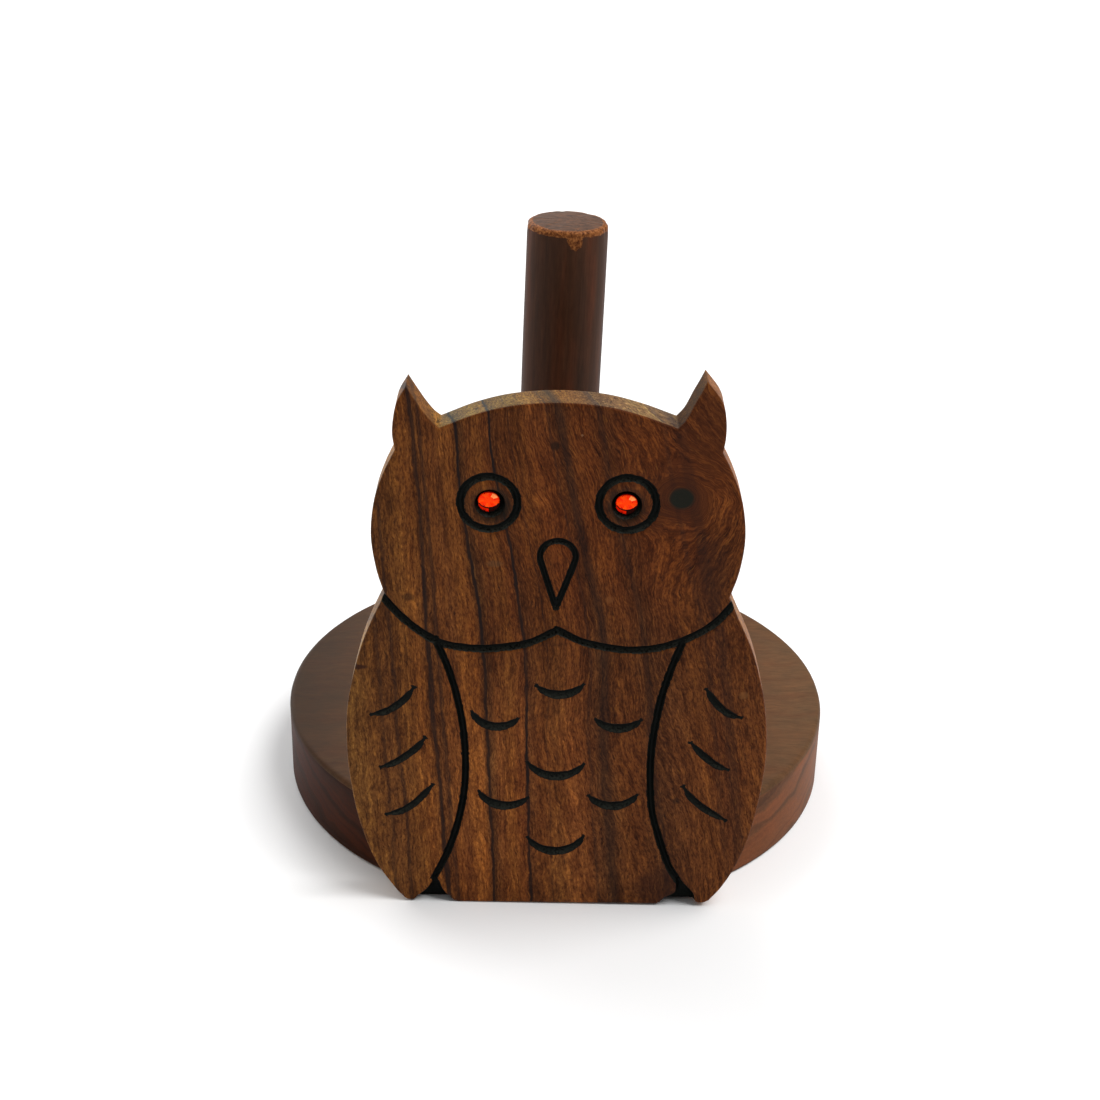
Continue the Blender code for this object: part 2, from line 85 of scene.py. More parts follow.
OUTLINE = [
    [(-29.4, 0.0), (31.2, 0.0)],
    [(31.2, 0.0), (32.4, 0.4), (41.6, 0.5)],
    [(41.6, 0.5), (43.4, 0.4), (45.0, 0.5), (46.6, 1.3)],
    [(46.6, 1.3), (50.1, 6.1), (53.6, 13.0), (57.3, 23.8), (59.9, 38.5), (61.0, 54.0),
     (59.9, 67.9), (57.9, 77.7), (55.0, 87.5), (50.4, 98.0), (47.9, 104.0)],
    [(47.9, 104.0), (50.2, 112.0), (51.3, 122.0), (50.2, 132.0), (47.6, 140.0),
     (44.0, 147.5)],
    [(44.0, 147.5), (44.6, 152.0), (44.4, 157.4), (43.1, 162.2), (39.0, 167.7)],
    [(39.0, 167.7), (37.5, 164.5), (36.0, 161.6), (33.9, 157.1), (31.7, 154.4)],
    [(31.7, 154.4), (22.0, 158.0), (12.0, 160.5), (0.0, 161.4), (-12.0, 160.5),
     (-22.0, 158.0), (-32.0, 153.9)],
    [(-32.0, 153.9), (-33.9, 155.5), (-36.2, 158.5), (-38.4, 162.0), (-40.6, 165.6)],
    [(-40.6, 165.6), (-43.1, 161.2), (-44.2, 156.6), (-44.6, 152.0), (-44.0, 147.5)],
    [(-44.0, 147.5), (-47.6, 140.0), (-50.2, 132.0), (-51.3, 122.0), (-50.2, 112.0),
     (-48.1, 104.0)],
    [(-48.1, 104.0), (-52.9, 93.6), (-56.3, 83.9), (-59.7, 69.3), (-60.6, 56.0),
     (-60.1, 44.8), (-58.1, 30.0), (-53.8, 15.1), (-48.3, 5.2), (-45.4, 1.4)],
    [(-45.4, 1.4), (-44.4, 0.6), (-43.0, 0.5), (-41.5, 0.5)],
    [(-41.5, 0.5), (-30.8, 0.4), (-29.4, 0.0)],
]

NECK_LEFT = [(-51.5, 106.5), (-48.4, 103.0), (-43.6, 97.2), (-37.3, 91.7), (-31.0, 88.4),
             (-21.2, 87.2), (-11.4, 88.3), (-6.5, 89.8), (0.3, 93.4)]
NECK_RIGHT = [(0.0, 93.5), (3.3, 91.6), (8.1, 89.4), (17.9, 87.4), (26.7, 87.7),
              (35.5, 90.5), (43.4, 95.4), (48.6, 101.5), (51.0, 105.0)]
WING_LEFT = [(-34.2, 90.2), (-30.6, 80.2), (-27.9, 68.9), (-26.4, 56.2), (-26.5, 42.4),
             (-28.5, 29.7), (-31.9, 18.3), (-36.2, 8.6)]
WING_RIGHT = [(35.6, 90.4), (32.2, 80.5), (29.5, 69.3), (27.6, 53.0), (28.1, 35.9),
              (30.4, 25.1), (33.9, 14.2), (37.0, 8.4)]
BEAK_CENTRE, BEAK_RADIUS, BEAK_TIP = (0.0, 116.2), 4.9, (-0.4, 100.4)
RING_CENTRES, RING_RADIUS = [(-18.9, 132.3), (18.8, 132.3)], 7.8
SOCKET_CENTRES, SOCKET_RADIUS = [(-18.6, 132.0), (18.6, 131.9)], 4.0

CRESCENTS = [                               # left end, lowest point, right end
    ((-5.5, 75.3), (1.1, 72.5), (7.5, 75.8)),
    ((-24.2, 66.7), (-17.1, 61.7), (-11.0, 64.5)),
    ((11.3, 64.6), (18.1, 61.5), (24.3, 64.4)),
    ((-8.0, 49.6), (-0.2, 45.1), (8.2, 49.4)),
    ((-22.5, 39.9), (-15.0, 34.7), (-8.3, 37.5)),
    ((9.9, 38.4), (17.4, 35.0), (23.9, 38.9)),
    ((-8.0, 23.5), (0.0, 18.8), (8.4, 24.3)),
]
WING_MARKS = [
    [(-53.2, 65.3), (-48.9, 66.4), (-45.5, 68.6), (-43.0, 71.0), (-40.7, 74.3)],
    [(-50.9, 47.6), (-47.2, 49.0), (-43.8, 51.3), (-40.3, 54.4), (-37.8, 57.7)],
    [(-49.7, 31.3), (-45.5, 32.4), (-42.0, 34.7), (-39.0, 37.8), (-35.9, 41.8)],
    [(42.7, 74.8), (44.7, 71.5), (47.1, 68.6), (50.0, 66.5), (53.1, 65.5)],
    [(39.0, 57.0), (41.1, 54.4), (44.0, 51.5), (47.0, 49.2), (50.2, 47.9)],
    [(37.4, 41.9), (39.5, 38.5), (42.9, 35.1), (46.4, 32.6), (50.1, 30.4)],
]
RECESS_LEFT = [(-36.0, 10.0), (-34.6, 7.0), (-34.0, 5.0), (-32.7, 2.9), (-31.2, 1.4),
               (-31.2, -1.0), (-41.9, -1.0), (-41.4, 1.6), (-38.5, 4.4), (-36.7, 7.4)]
RECESS_RIGHT = [(36.6, 10.4), (38.8, 7.5), (41.6, 4.0), (42.2, 1.6), (42.6, -1.0),
                (32.4, -1.0), (32.6, 1.6), (34.6, 2.9), (36.4, 4.4), (36.6, 7.2)]


# ---------------------------------------------------------------- curves

CHUNK = 3000                                # points compared with a line at a time
TINY = 1e-12


def smooth(points, spacing):
    """Points about one spacing apart on a curve through the given ones, ends included."""
    knots = [Vector(point) for point in points]
    if len(knots) == 2:
        count = max(1, round((knots[1] - knots[0]).length / spacing))
        return [tuple(knots[0].lerp(knots[1], step / count)) for step in range(count + 1)]
    guided = [knots[0] * 2 - knots[1]] + knots + [knots[-1] * 2 - knots[-2]]
    line = []
    for before, start, stop, after in zip(guided, guided[1:], guided[2:], guided[3:]):
        count = max(1, round((stop - start).length / spacing))
        line += interpolate_bezier(start, start + (stop - before) / 6,
                                   stop - (after - start) / 6, stop, count + 1)[:-1]
    return [(point[0], point[1]) for point in line] + [tuple(knots[-1])]


def closed_outline(stretches, spacing):
    """Stretches joined end to end into one loop, its first point not repeated."""
    line = []
    for stretch in stretches:
        line += smooth(stretch, spacing)[:-1]
    return np.array(line)


def round_points(centre, radius, turn):
    return np.stack([centre[0] + radius * np.cos(turn), centre[1] + radius * np.sin(turn)], 1)


def arc_line(start, low, stop, spacing):
    """A round arc through three points."""
    (x1, z1), (x2, z2), (x3, z3) = start, low, stop
    sides = np.array([[x2 - x1, z2 - z1], [x3 - x1, z3 - z1]])
    sums = np.array([x2 ** 2 - x1 ** 2 + z2 ** 2 - z1 ** 2,
                     x3 ** 2 - x1 ** 2 + z3 ** 2 - z1 ** 2]) / 2
    centre = np.linalg.solve(sides, sums)
    radius = math.hypot(x1 - centre[0], z1 - centre[1])
    first = math.atan2(z1 - centre[1], x1 - centre[0])
    last = math.atan2(z3 - centre[1], x3 - centre[0])
    count = max(4, round(abs(last - first) * radius / spacing))
    return round_points(centre, radius, np.linspace(first, last, count + 1))


def circle_line(centre, radius, spacing):
    """A circle whose last point is its first one again."""
    count = round(2 * math.pi * radius / spacing)
    return round_points(centre, radius, np.arange(count + 1) * 2 * math.pi / count)


def teardrop_line(centre, radius, tip, spacing):
    """The beak: a round top that runs straight down to a tip on both sides."""
    away = Vector(tip) - Vector(centre)
    facing = math.atan2(away.y, away.x)
    reach = math.acos(radius / away.length)
    count = round((2 * math.pi - 2 * reach) * radius / spacing)
    line = [Vector(tip)]
    for step in range(count + 1):
        turn = facing + reach + (2 * math.pi - 2 * reach) * step / count
        line.append(Vector(centre) + radius * Vector((math.cos(turn), math.sin(turn))))
    line.append(Vector(tip))
    dense = []
    for start, stop in zip(line, line[1:]):
        parts = max(1, round((stop - start).length / spacing))
        dense += [tuple(start.lerp(stop, part / parts)) for part in range(parts)]
    return np.array(dense + [tuple(tip)])


def nearest_on_line(points, line):
    """Each point's distance from a line, where along it, and on which side (1 is left)."""
    start, along = line[:-1], np.diff(line, axis=0)
    length2 = np.maximum((along ** 2).sum(1), TINY)
    distance = np.empty(len(points))
    place = np.empty(len(points))
    hand = np.ones(len(points))
    for first in range(0, len(points), CHUNK):
        part = slice(first, first + CHUNK)
        some = points[part]
        apart = some[:, None, :] - start[None]
        share = np.clip((apart * along[None]).sum(2) / length2, 0.0, 1.0)
        gap = np.hypot(apart[..., 0] - share * along[None, :, 0],
                       apart[..., 1] - share * along[None, :, 1])
        best = gap.argmin(1)
        picked = np.arange(len(some))
        distance[part] = gap[picked, best]
        place[part] = best + share[picked, best]
        turn = along[best, 0] * apart[picked, best, 1] - along[best, 1] * apart[picked, best, 0]
        hand[part] = np.where(turn < 0, -1.0, 1.0)
    return distance, place, hand


def inside(points, outline):
    """True for the points within a closed outline."""
    x0, z0 = outline[:, 0], outline[:, 1]
    x1, z1 = np.roll(x0, -1), np.roll(z0, -1)
    result = np.zeros(len(points), bool)
    for first in range(0, len(points), CHUNK):
        part = slice(first, first + CHUNK)
        px = points[part, 0][:, None]
        pz = points[part, 1][:, None]
        spans = (z0 > pz) != (z1 > pz)
        crossing = (x1 - x0) * (pz - z0) / np.where(z1 == z0, TINY, z1 - z0) + x0
        result[part] = (spans & (px < crossing)).sum(1) % 2 == 1
    return result


def wobble(points, scale, seed):
    """A slow unevenness from -1 to 1 over flat points, the same every time."""
    return np.array([noise.noise((x * scale, z * scale, seed)) for x, z in points])


def sideways(ahead):
    """Unit steps to the left of the given directions."""
    ahead = ahead / np.maximum(np.hypot(ahead[:, 0], ahead[:, 1]), TINY)[:, None]
    return np.stack([-ahead[:, 1], ahead[:, 0]], 1)


def round_loop(outline):
    """The direction of a closed outline at each of its points."""
    return np.roll(outline, -1, 0) - np.roll(outline, 1, 0)


# ---------------------------------------------------------------- relief

class Groove:
    """A gouged line: how deep and how wide it is at each of its points.

    A feathered one is a chip: it tapers to both ends, with one steep and one gentle wall.
    """

    ROWS = (0.0, 0.3, -0.3, 0.6, -0.6, 0.85, -0.85, 1.0, -1.0, 1.15, -1.15, 1.6, -1.6)
    MARGIN = 2.5                            # how far from the line its effect can reach
    UNEVEN_WIDTH, UNEVEN_DEPTH = 0.13, 0.2
    # the cross section, in half widths from the middle
    ROUND_EDGE, ROUND_CURVE = 1.08, 0.65
    CHIP_EDGE, CHIP_DEEPEST = 1.05, 0.45
    STEEP_CURVE, GENTLE_CURVE = 0.7, 0.9
    PAINT_EDGE, PAINT_FADE = 1.22, 0.24

    def __init__(self, line, width, depth, seed, feather=False):
        self.line = np.array(line)
        count = len(self.line)
        swell = np.ones(count)
        if feather:
            swell = np.maximum(0.1, np.sin(np.linspace(0.06, 0.94, count) * math.pi) ** 0.75)
        self.half = width / 2 * swell * (1 + self.UNEVEN_WIDTH * wobble(self.line, 0.35, seed))
        uneven = 1 + self.UNEVEN_DEPTH * wobble(self.line, 0.3, seed + 9)
        self.depth = depth * swell * uneven
        self.feather = feather

    def rows(self):
        """Lines of mesh points along the groove, from its middle out past its edges."""
        across = sideways(np.gradient(self.line, axis=0))
        return [self.line + across * (self.half * row)[:, None] for row in self.ROWS]

    def sink(self, points):
        """Depth and paint at each point."""
        near = in_box(points, self.line, self.MARGIN)
        depth, paint = np.zeros(len(points)), np.zeros(len(points))
        distance, place, hand = nearest_on_line(points[near], self.line)
        stations = np.arange(len(self.line))
        aside = distance / np.interp(place, stations, self.half)
        shape = np.clip(1 - (aside / self.ROUND_EDGE) ** 2, 0.0, 1.0) ** self.ROUND_CURVE
        if self.feather:
            offset = aside * hand
            edge, deepest = self.CHIP_EDGE, self.CHIP_DEEPEST
            steep = np.clip((edge - offset) / (edge - deepest), 0.0, 1.0) ** self.STEEP_CURVE
            gentle = np.clip((edge + offset) / (edge + deepest), 0.0, 1.0) ** self.GENTLE_CURVE
            shape = np.where(offset > deepest, steep, gentle)
        depth[near] = shape * np.interp(place, stations, self.depth)
        paint[near] = np.clip((self.PAINT_EDGE - aside) / self.PAINT_FADE, 0.0, 1.0)
        return depth, paint


class Pit:
    """A hollow with a flat floor and steep walls inside a closed line."""

    ROWS = (-0.35, -0.12, 0.0, 0.12, 0.3)
    MARGIN = 1.5
    LIP, PAINT_FADE = 0.06, 0.2             # how far the wall and the paint go past the line
    WALL_CURVE = 0.8

    def __init__(self, outline, depth, wall, paint):
        self.outline = np.array(outline)
        self.depth, self.wall, self.paint = depth, wall, paint
        self.loop = np.vstack([self.outline, self.outline[:1]])

    def rows(self):
        """Lines of mesh points along the hollow's edge, outside and inside it."""
        across = sideways(round_loop(self.outline))
        return [self.outline + across * row for row in self.ROWS]

    def sink(self, points):
        """Depth and paint at each point."""
        near = in_box(points, self.outline, self.MARGIN)
        depth, paint = np.zeros(len(points)), np.zeros(len(points))
        distance, _, _ = nearest_on_line(points[near], self.loop)
        within = np.where(inside(points[near], self.outline), distance, -distance)
        down = np.clip((within + self.LIP) / self.wall, 0.0, 1.0) ** self.WALL_CURVE
        depth[near] = self.depth * down
        paint[near] = np.clip(within / self.PAINT_FADE + 1, 0.0, 1.0) * self.paint
        return depth, paint


def in_box(points, line, margin):
    """True for the points in a line's box, widened by a margin."""
    low, high = line.min(0) - margin, line.max(0) + margin
    return np.all((points > low) & (points < high), axis=1)


# ---------------------------------------------------------------- meshes

GRID_ROW = 0.866                            # from one row of the point grid to the next, in steps
GRID_GAP = 0.6                              # how clear the grid keeps of other points, in steps
GRID_JITTER, GRID_SEED = 0.12, 7
BORDER_GAP = 0.8                            # clear strip at the outline, in nearest edge rows
MERGE = 1e-5
EDGE_ROWS = (0.2, 0.5, 0.8, 1.1, 1.8)       # rows of points by the rounded edge, in radii
BACK_STEP = 5.0
CLEAR = 0.24                                # least distance between a face's points
PAINT_RUN = 9                               # paint fades over 1/9 of the way down the rim


class Spacing:
    """Points sorted into square cells, to tell if a new one is too close to them."""

    def __init__(self, size, gap):
        self.size, self.gap = size, gap
        self.cells = {}

    def cell(self, x, z):
        return (math.floor(x / self.size), math.floor(z / self.size))

    def add(self, x, z):
        self.cells.setdefault(self.cell(x, z), []).append((x, z))

    def free(self, x, z):
        column, row = self.cell(x, z)
        near = (other for aside in (-1, 0, 1) for up in (-1, 0, 1)
                for other in self.cells.get((column + aside, row + up), ()))
        return all((x - a) ** 2 + (z - b) ** 2 > self.gap ** 2 for a, b in near)


def thinned(groups, clear):
    """All points of the groups in order, without those closer than clear to an earlier one."""
    spacing = Spacing(clear, clear)
    kept = []
    for group in groups:
        for x, z in group:
            if spacing.free(x, z):
                spacing.add(x, z)
                kept.append((x, z))
    return kept


def grid_points(outline, step):
    """A slightly irregular grid of points over the outline's box."""
    low, high = outline.min(0), outline.max(0)
    columns = np.arange(low[0], high[0], step)
    rows = np.arange(low[1], high[1], step * GRID_ROW)
    points = []
    for index, z in enumerate(rows):
        shift = step / 2 if index % 2 else 0.0
        points += [(x + shift, z) for x in columns]
    points = np.array(points)
    draws = np.random.default_rng(GRID_SEED)
    return points + draws.uniform(-GRID_JITTER, GRID_JITTER, points.shape) * step


def face_of_slab(outline, features, step, edge_rows):
    """Triangulated points of one face: flat coordinates, triangles, outline's indices."""
    loop = np.vstack([outline, outline[:1]])
    inward = sideways(round_loop(outline))
    groups = [row for feature in features for row in feature.rows()]
    groups += [outline + inward * row for row in edge_rows]
    groups.append(grid_points(outline, step))
    held = []
    for group in groups:
        group = group[inside(group, outline)]
        distance, _, _ = nearest_on_line(group, loop)
        held.append(group[distance > min(edge_rows) * BORDER_GAP])
    dense = thinned(held[:-1], CLEAR)
    spacing = Spacing(step, step * GRID_GAP)
    for x, z in dense:
        spacing.add(x, z)
    sparse = [(x, z) for x, z in held[-1] if spacing.free(x, z)]
    points = [Vector(point) for point in list(outline) + dense + sparse]
    flat, _, faces, sources, _, _ = delaunay_2d_cdt(
        points, [], [list(range(len(outline)))], 1, MERGE)
    index_of = {source: index for index, found in enumerate(sources) for source in found}
    border = [index_of[index] for index in range(len(outline))]
    return np.array([tuple(point) for point in flat]), faces, border


def rounding(distance, radius):
    """How far a rounded edge falls away, at a distance in from the outline."""
    short = np.clip(radius - distance, 0.0, radius)
    return radius - np.sqrt(np.maximum(radius ** 2 - short ** 2, 0.0))


def slab(name, outline, thickness, place, front=(), back=(), arris=(0.6, 0.6), step=1.2,
         rim_rows=8, waviness=0.03):
    """A flat thick piece: a carved front, a rim and a back, as one closed mesh.

    place turns (across, up, depth from the front) into the piece's own coordinates. Arris is
    how far each face's edge is rounded. Vertices carry how much paint they have.
    """
    loop = np.vstack([outline, outline[:1]])
    vertices, faces, paints, borders = [], [], [], []
    for side, features in enumerate((front, back)):
        radius = arris[side]
        edge_rows = [radius * share for share in EDGE_ROWS]
        spread = step if side == 0 else BACK_STEP
        flat, triangles, border = face_of_slab(outline, features, spread, edge_rows)
        distance, _, _ = nearest_on_line(flat, loop)
        sunk, paint = np.zeros(len(flat)), np.zeros(len(flat))
        for feature in features:
            depth, painted = feature.sink(flat)
            sunk = np.maximum(sunk, depth)
            paint = np.maximum(paint, painted)
        uneven = wobble(flat, 0.06, side * 5.0)
        sunk = np.maximum(sunk, rounding(distance, radius)) + waviness * (uneven + 1) / 2
        first = len(vertices)
        levels = sunk if side == 0 else thickness - sunk
        vertices += [place(x, z, level) for (x, z), level in zip(flat, levels)]
        order = (0, 1, 2) if side == 0 else (2, 1, 0)
        faces += [tuple(first + triangle[corner] for corner in order) for triangle in triangles]
        borders.append((first, border, levels))
        paints += list(paint)
    (front_first, front_border, front_levels), (back_first, back_border, back_levels) = borders
    rows = [[front_first + index for index in front_border]]
    for row in range(1, rim_rows):
        share = row / rim_rows
        current = []
        for index, (x, z) in enumerate(outline):
            level = (front_levels[front_border[index]] * (1 - share)
                     + back_levels[back_border[index]] * share)
            current.append(len(vertices))
            vertices.append(place(x, z, level))
            edge_paint = paints[front_first + front_border[index]]
            paints.append(edge_paint * max(0.0, 1 - share * PAINT_RUN))
        rows.append(current)
    rows.append([back_first + index for index in back_border])
    count = len(outline)
    for upper, lower in zip(rows, rows[1:]):
        for index in range(count):
            following = (index + 1) % count
            faces.append((upper[following], upper[index], lower[index], lower[following]))
    mesh = bpy.data.meshes.new(name)
    mesh.from_pydata([tuple(value * MM for value in vertex) for vertex in vertices], [], faces)
    on_rim = np.arange(len(faces)) >= len(faces) - count * rim_rows
    mesh.polygons.foreach_set("material_index", on_rim.astype(np.int32))
    layer = mesh.attributes.new("paint", "FLOAT", "POINT")
    layer.data.foreach_set("value", np.array(paints, np.float32))
    return finished(mesh)


def finished(mesh):
    """Check the mesh, smooth its shading and make its piece."""
    mesh.validate()
    mesh.shade_smooth()
    return linked(mesh)


def linked(data):
    """A new object in the scene for a mesh, light or camera, with the same name."""
    piece = bpy.data.objects.new(data.name, data)
    SCENE.collection.objects.link(piece)
    return piece


def lathe(name, profile, segments, uneven=None):
    """Turn (radius, height) points round Z. uneven(radius, height, angle) shifts both."""
    vertices, rings = [], []
    for radius, height in profile:
        if radius == 0.0:
            rings.append([len(vertices)])
            vertices.append((0.0, 0.0, height * MM))
            continue
        ring = []
        for step in range(segments):
            angle = 2 * math.pi * step / segments
            out, up = uneven(radius, height, angle) if uneven else (radius, height)
            ring.append(len(vertices))
            vertices.append((out * math.cos(angle) * MM, out * math.sin(angle) * MM, up * MM))
        rings.append(ring)
    faces = []
    for low, high in zip(rings, rings[1:]):
        for step in range(segments):
            following = (step + 1) % segments
            corners = (low[step % len(low)], low[following % len(low)],
                       high[following % len(high)], high[step % len(high)])
            faces.append(tuple(dict.fromkeys(corners)))
    mesh = bpy.data.meshes.new(name)
    mesh.from_pydata(vertices, [], faces)
    return finished(mesh)


# ---------------------------------------------------------------- material graph

class Graph:
    """Short words for wiring one material's nodes."""

    def __init__(self, name):
        self.material = bpy.data.materials.new(name)
        self.material.use_nodes = True
        self.tree = self.material.node_tree
        self.shader = self.tree.nodes["Principled BSDF"]

    def put(self, socket, value):
        if isinstance(value, bpy.types.NodeSocket):
            self.tree.links.new(value, socket)
        else:
            socket.default_value = value

    def add(self, kind, inputs=(), **settings):
        node = self.tree.nodes.new(kind)
        for key, value in settings.items():
            setattr(node, key, value)
        for key, value in dict(inputs).items():
            self.put(node.inputs[key], value)
        return node

    def math(self, operation, *values, clamp=False):
        node = self.add("ShaderNodeMath", enumerate(values), operation=operation)
        node.use_clamp = clamp
        return node.outputs[0]

    def mix(self, factor, first, second, blend="MIX"):
        node = self.add("ShaderNodeMix", {0: factor, 6: first, 7: second},
                        data_type="RGBA", blend_type=blend)
        return node.outputs[2]

    def tint(self, colour, factor, stops):
        """A colour multiplied by a ramp of gains."""
        return self.mix(1.0, colour, self.ramp(factor, stops), "MULTIPLY")

    def blend(self, factor, first, second):
        """One number turning into another as the factor goes from 0 to 1."""
        node = self.add("ShaderNodeMix", {0: factor, 2: first, 3: second}, data_type="FLOAT")
        return node.outputs[0]

    def between(self, value, low, high):
        """0 below low, 1 above high, smooth between. low may be above high."""
        node = self.add("ShaderNodeMapRange", {0: value, 1: low, 2: high, 3: 0.0, 4: 1.0},
                        interpolation_type="SMOOTHSTEP")
        return node.outputs[0]

    def noise(self, point, scale, detail, roughness, stretch=(1.0, 1.0, 1.0)):
        """Noise at a point whose coordinates are first multiplied by the stretch."""
        place = self.add("ShaderNodeCombineXYZ", enumerate(
            value if factor == 1.0 else self.math("MULTIPLY", value, factor)
            for value, factor in zip(point, stretch)))
        inputs = {"Vector": place.outputs[0], "Scale": scale, "Detail": detail,
                  "Roughness": roughness}
        return self.add("ShaderNodeTexNoise", inputs).outputs["Fac"]

    def sway(self, value, unevenness, amount):
        """A value moved up to half the amount either way, as a noise goes from 0 to 1."""
        return self.math("MULTIPLY_ADD", self.math("SUBTRACT", unevenness, 0.5), amount, value)

    def gain(self, colour, gains, where=1.0):
        """A colour multiplied by gains, as far as a mask says."""
        return self.mix(where, colour, (*gains, 1.0), "MULTIPLY")

    def cover(self, colour, tone, mask, strength=1.0):
        """A colour covered with an 8-bit tone, as far as a mask times a strength says."""
        return self.mix(self.math("MULTIPLY", mask, strength), colour, (*srgb(*tone), 1.0))

    def ramp(self, factor, stops):
        """Colours along a factor; a stop is (place, linear colour)."""
        node = self.add("ShaderNodeValToRGB", {"Fac": factor})
        elements = node.color_ramp.elements
        while len(elements) < len(stops):
            elements.new(0.5)
        for element, (place, colour) in zip(elements, stops):
            element.position = place
            element.color = (*colour, 1.0)
        return node.outputs["Color"]

    def curve(self, value, points):
        """A smooth curve of numbers from 0 to 1 through (place, height) points."""
        node = self.add("ShaderNodeFloatCurve", {"Value": value})
        knots = node.mapping.curves[0].points
        while len(knots) < len(points):
            knots.new(0.5, 0.5)
        for knot, point in zip(knots, sorted(points)):
            knot.location = point
        node.mapping.update()
        return node.outputs[0]

    def coordinates(self):
        """Across, depth and up in millimetres, in the piece's own frame."""
        whole = self.add("ShaderNodeTexCoord").outputs["Object"]
        split = self.add("ShaderNodeSeparateXYZ", {0: whole})
        return [self.math("MULTIPLY", output, 1 / MM) for output in split.outputs]

    def attribute(self, name):
        return self.add("ShaderNodeAttribute", attribute_name=name).outputs["Fac"]

    def spot(self, x, z, centre, radii, soft=0.35):
        """1 inside an ellipse, fading to 0 over soft of its size."""
        across = self.math("DIVIDE", self.math("SUBTRACT", x, centre[0]), radii[0])
        up = self.math("DIVIDE", self.math("SUBTRACT", z, centre[1]), radii[1])
        gap = self.math("SQRT", self.math("ADD", self.math("MULTIPLY", across, across),
                                          self.math("MULTIPLY", up, up)))
        return self.between(gap, 1.0 + soft, 1.0 - soft)

    def bump(self, height, strength, distance):
        inputs = {"Height": height, "Strength": strength, "Distance": distance * MM}
        return self.add("ShaderNodeBump", inputs).outputs[0]

    def finish(self, specular, **sockets):
        """Fill the shader's sockets, named with _ for each space, and give the material."""
        self.shader.inputs["Specular IOR Level"].default_value = specular
        for label, value in sockets.items():
            self.put(self.shader.inputs[label.replace("_", " ")], value)
        return self.material


def srgb(red, green, blue):
    """An 8-bit colour as linear light."""
    def linear(value):
        share = value / 255
        return share / 12.92 if share <= 0.04045 else ((share + 0.055) / 1.055) ** 2.4
    return (linear(red), linear(green), linear(blue))


def tones(*stops):
    """Ramp stops from (place, 8-bit colour) pairs."""
    return [(place, srgb(*tone)) for place, tone in stops]


def even(*stops):
    """Ramp stops from (place, gain) pairs, with the same gain for all three colours."""
    return [(place, (gain, gain, gain)) for place, gain in stops]


# ---------------------------------------------------------------- wood of the board
# The figure follows guide lines: each is where a grain line lies at a few heights,
# and the bands between them are named by where they cross the owl's neck.

FLOW = [                                    # place at the neck, (height, x) down the board
    (-62.0, [(0, -62), (90, -62), (170, -58)]),
    (-46.7, [(0, -42.8), (35, -44), (60, -45.5), (85, -46.5), (120, -48.5), (170, -51)]),
    (-36.2, [(0, -31), (30, -33), (60, -34.8), (95, -36.5), (140, -38), (170, -40.5)]),
    (-21.5, [(0, -18.5), (60, -20), (100, -22), (125, -25), (150, -27), (170, -28.5)]),
    (-9.5, [(0, -7), (60, -9), (85, -9), (115, -12), (125, -14), (145, -17.6), (170, -18.4)]),
    (11.2, [(0, 17), (25, 15), (60, 12), (95, 11), (110, 8), (150, 0), (170, -3)]),
    (30.0, [(0, 42), (30, 38), (60, 34), (90, 30), (120, 23), (150, 17), (170, 14)]),
    (62.0, [(0, 74), (60, 66), (90, 62), (120, 55), (170, 46)]),
]
FLOW_HEIGHT, FLOW_SIDE = 170.0, 80.0

BOARD_BANDS = [                             # place at the neck, colour there
    (-60, (86, 58, 33)), (-52, (84, 53, 30)), (-49, (74, 45, 27)), (-46, (76, 46, 26)),
    (-43, (88, 54, 29)), (-39, (96, 57, 30)), (-36.5, (76, 45, 26)), (-34.5, (70, 41, 25)),
    (-31.5, (88, 51, 28)), (-29, (80, 46, 27)), (-26, (102, 61, 32)), (-23.5, (92, 53, 28)),
    (-21.3, (58, 36, 24)), (-18, (78, 44, 25)), (-14, (86, 50, 26)), (-11, (80, 44, 25)),
    (-9, (66, 38, 24)), (-6, (76, 43, 24)), (-1, (78, 46, 26)), (3, (86, 49, 28)),
    (7, (74, 41, 24)), (12, (56, 34, 24)), (16, (78, 45, 26)), (20, (76, 43, 25)),
    (25, (62, 37, 25)), (31, (76, 44, 27)), (38, (80, 46, 26)), (44, (72, 41, 26)),
    (50, (82, 48, 28)), (60, (78, 45, 27)),
]
BAND_SPAN = 64.0
VEINS = [                                   # place at the neck, half width, strength
    (-50.5, 0.7, 0.45), (-46.7, 0.7, 0.5), (-36.2, 0.9, 0.8), (-33.6, 0.8, 0.5),
    (-21.5, 0.65, 0.95), (-9.5, 0.6, 0.95), (-3.4, 0.35, 0.35), (8.6, 0.6, 0.4),
    (12.6, 1.7, 0.45), (24.5, 1.3, 0.35), (41.5, 1.0, 0.3), (46.0, 2.2, 0.35),
]
VEIN_COLOUR, FLECK_COLOUR, PORE_COLOUR = (32, 22, 20), (150, 92, 38), (24, 16, 13)
KNOT, KNOT_SIZES = (33.4, 134.2), (3.4, 3.1)
KNOT_COLOUR, HALO_COLOUR = (25, 29, 24), (50, 26, 18)
KNOT_RINGS = 9.0                            # how far from the knot the fibres run in rings
LEANS = [                                   # where the fibres lean: centre, half sizes, slope
    ((34.0, 148.0), (36.0, 26.0), 0.42),
    ((4.0, 128.0), (22.0, 40.0), 0.12),
    ((26.0, 50.0), (30.0, 60.0), 0.16),
]
PATCHES = [                                 # centre, half sizes, softness, strength, gains
    ((24.0, 134.0), (34.0, 34.0), 0.60, 1.0, (1.22, 1.06, 0.90)),
    ((45.5, 111.0), (8.0, 17.0), 0.60, 0.5, (0.62, 0.66, 0.74)),
    ((-7.0, 26.0), (24.0, 50.0), 0.35, 1.0, (1.36, 1.42, 1.40)),
]
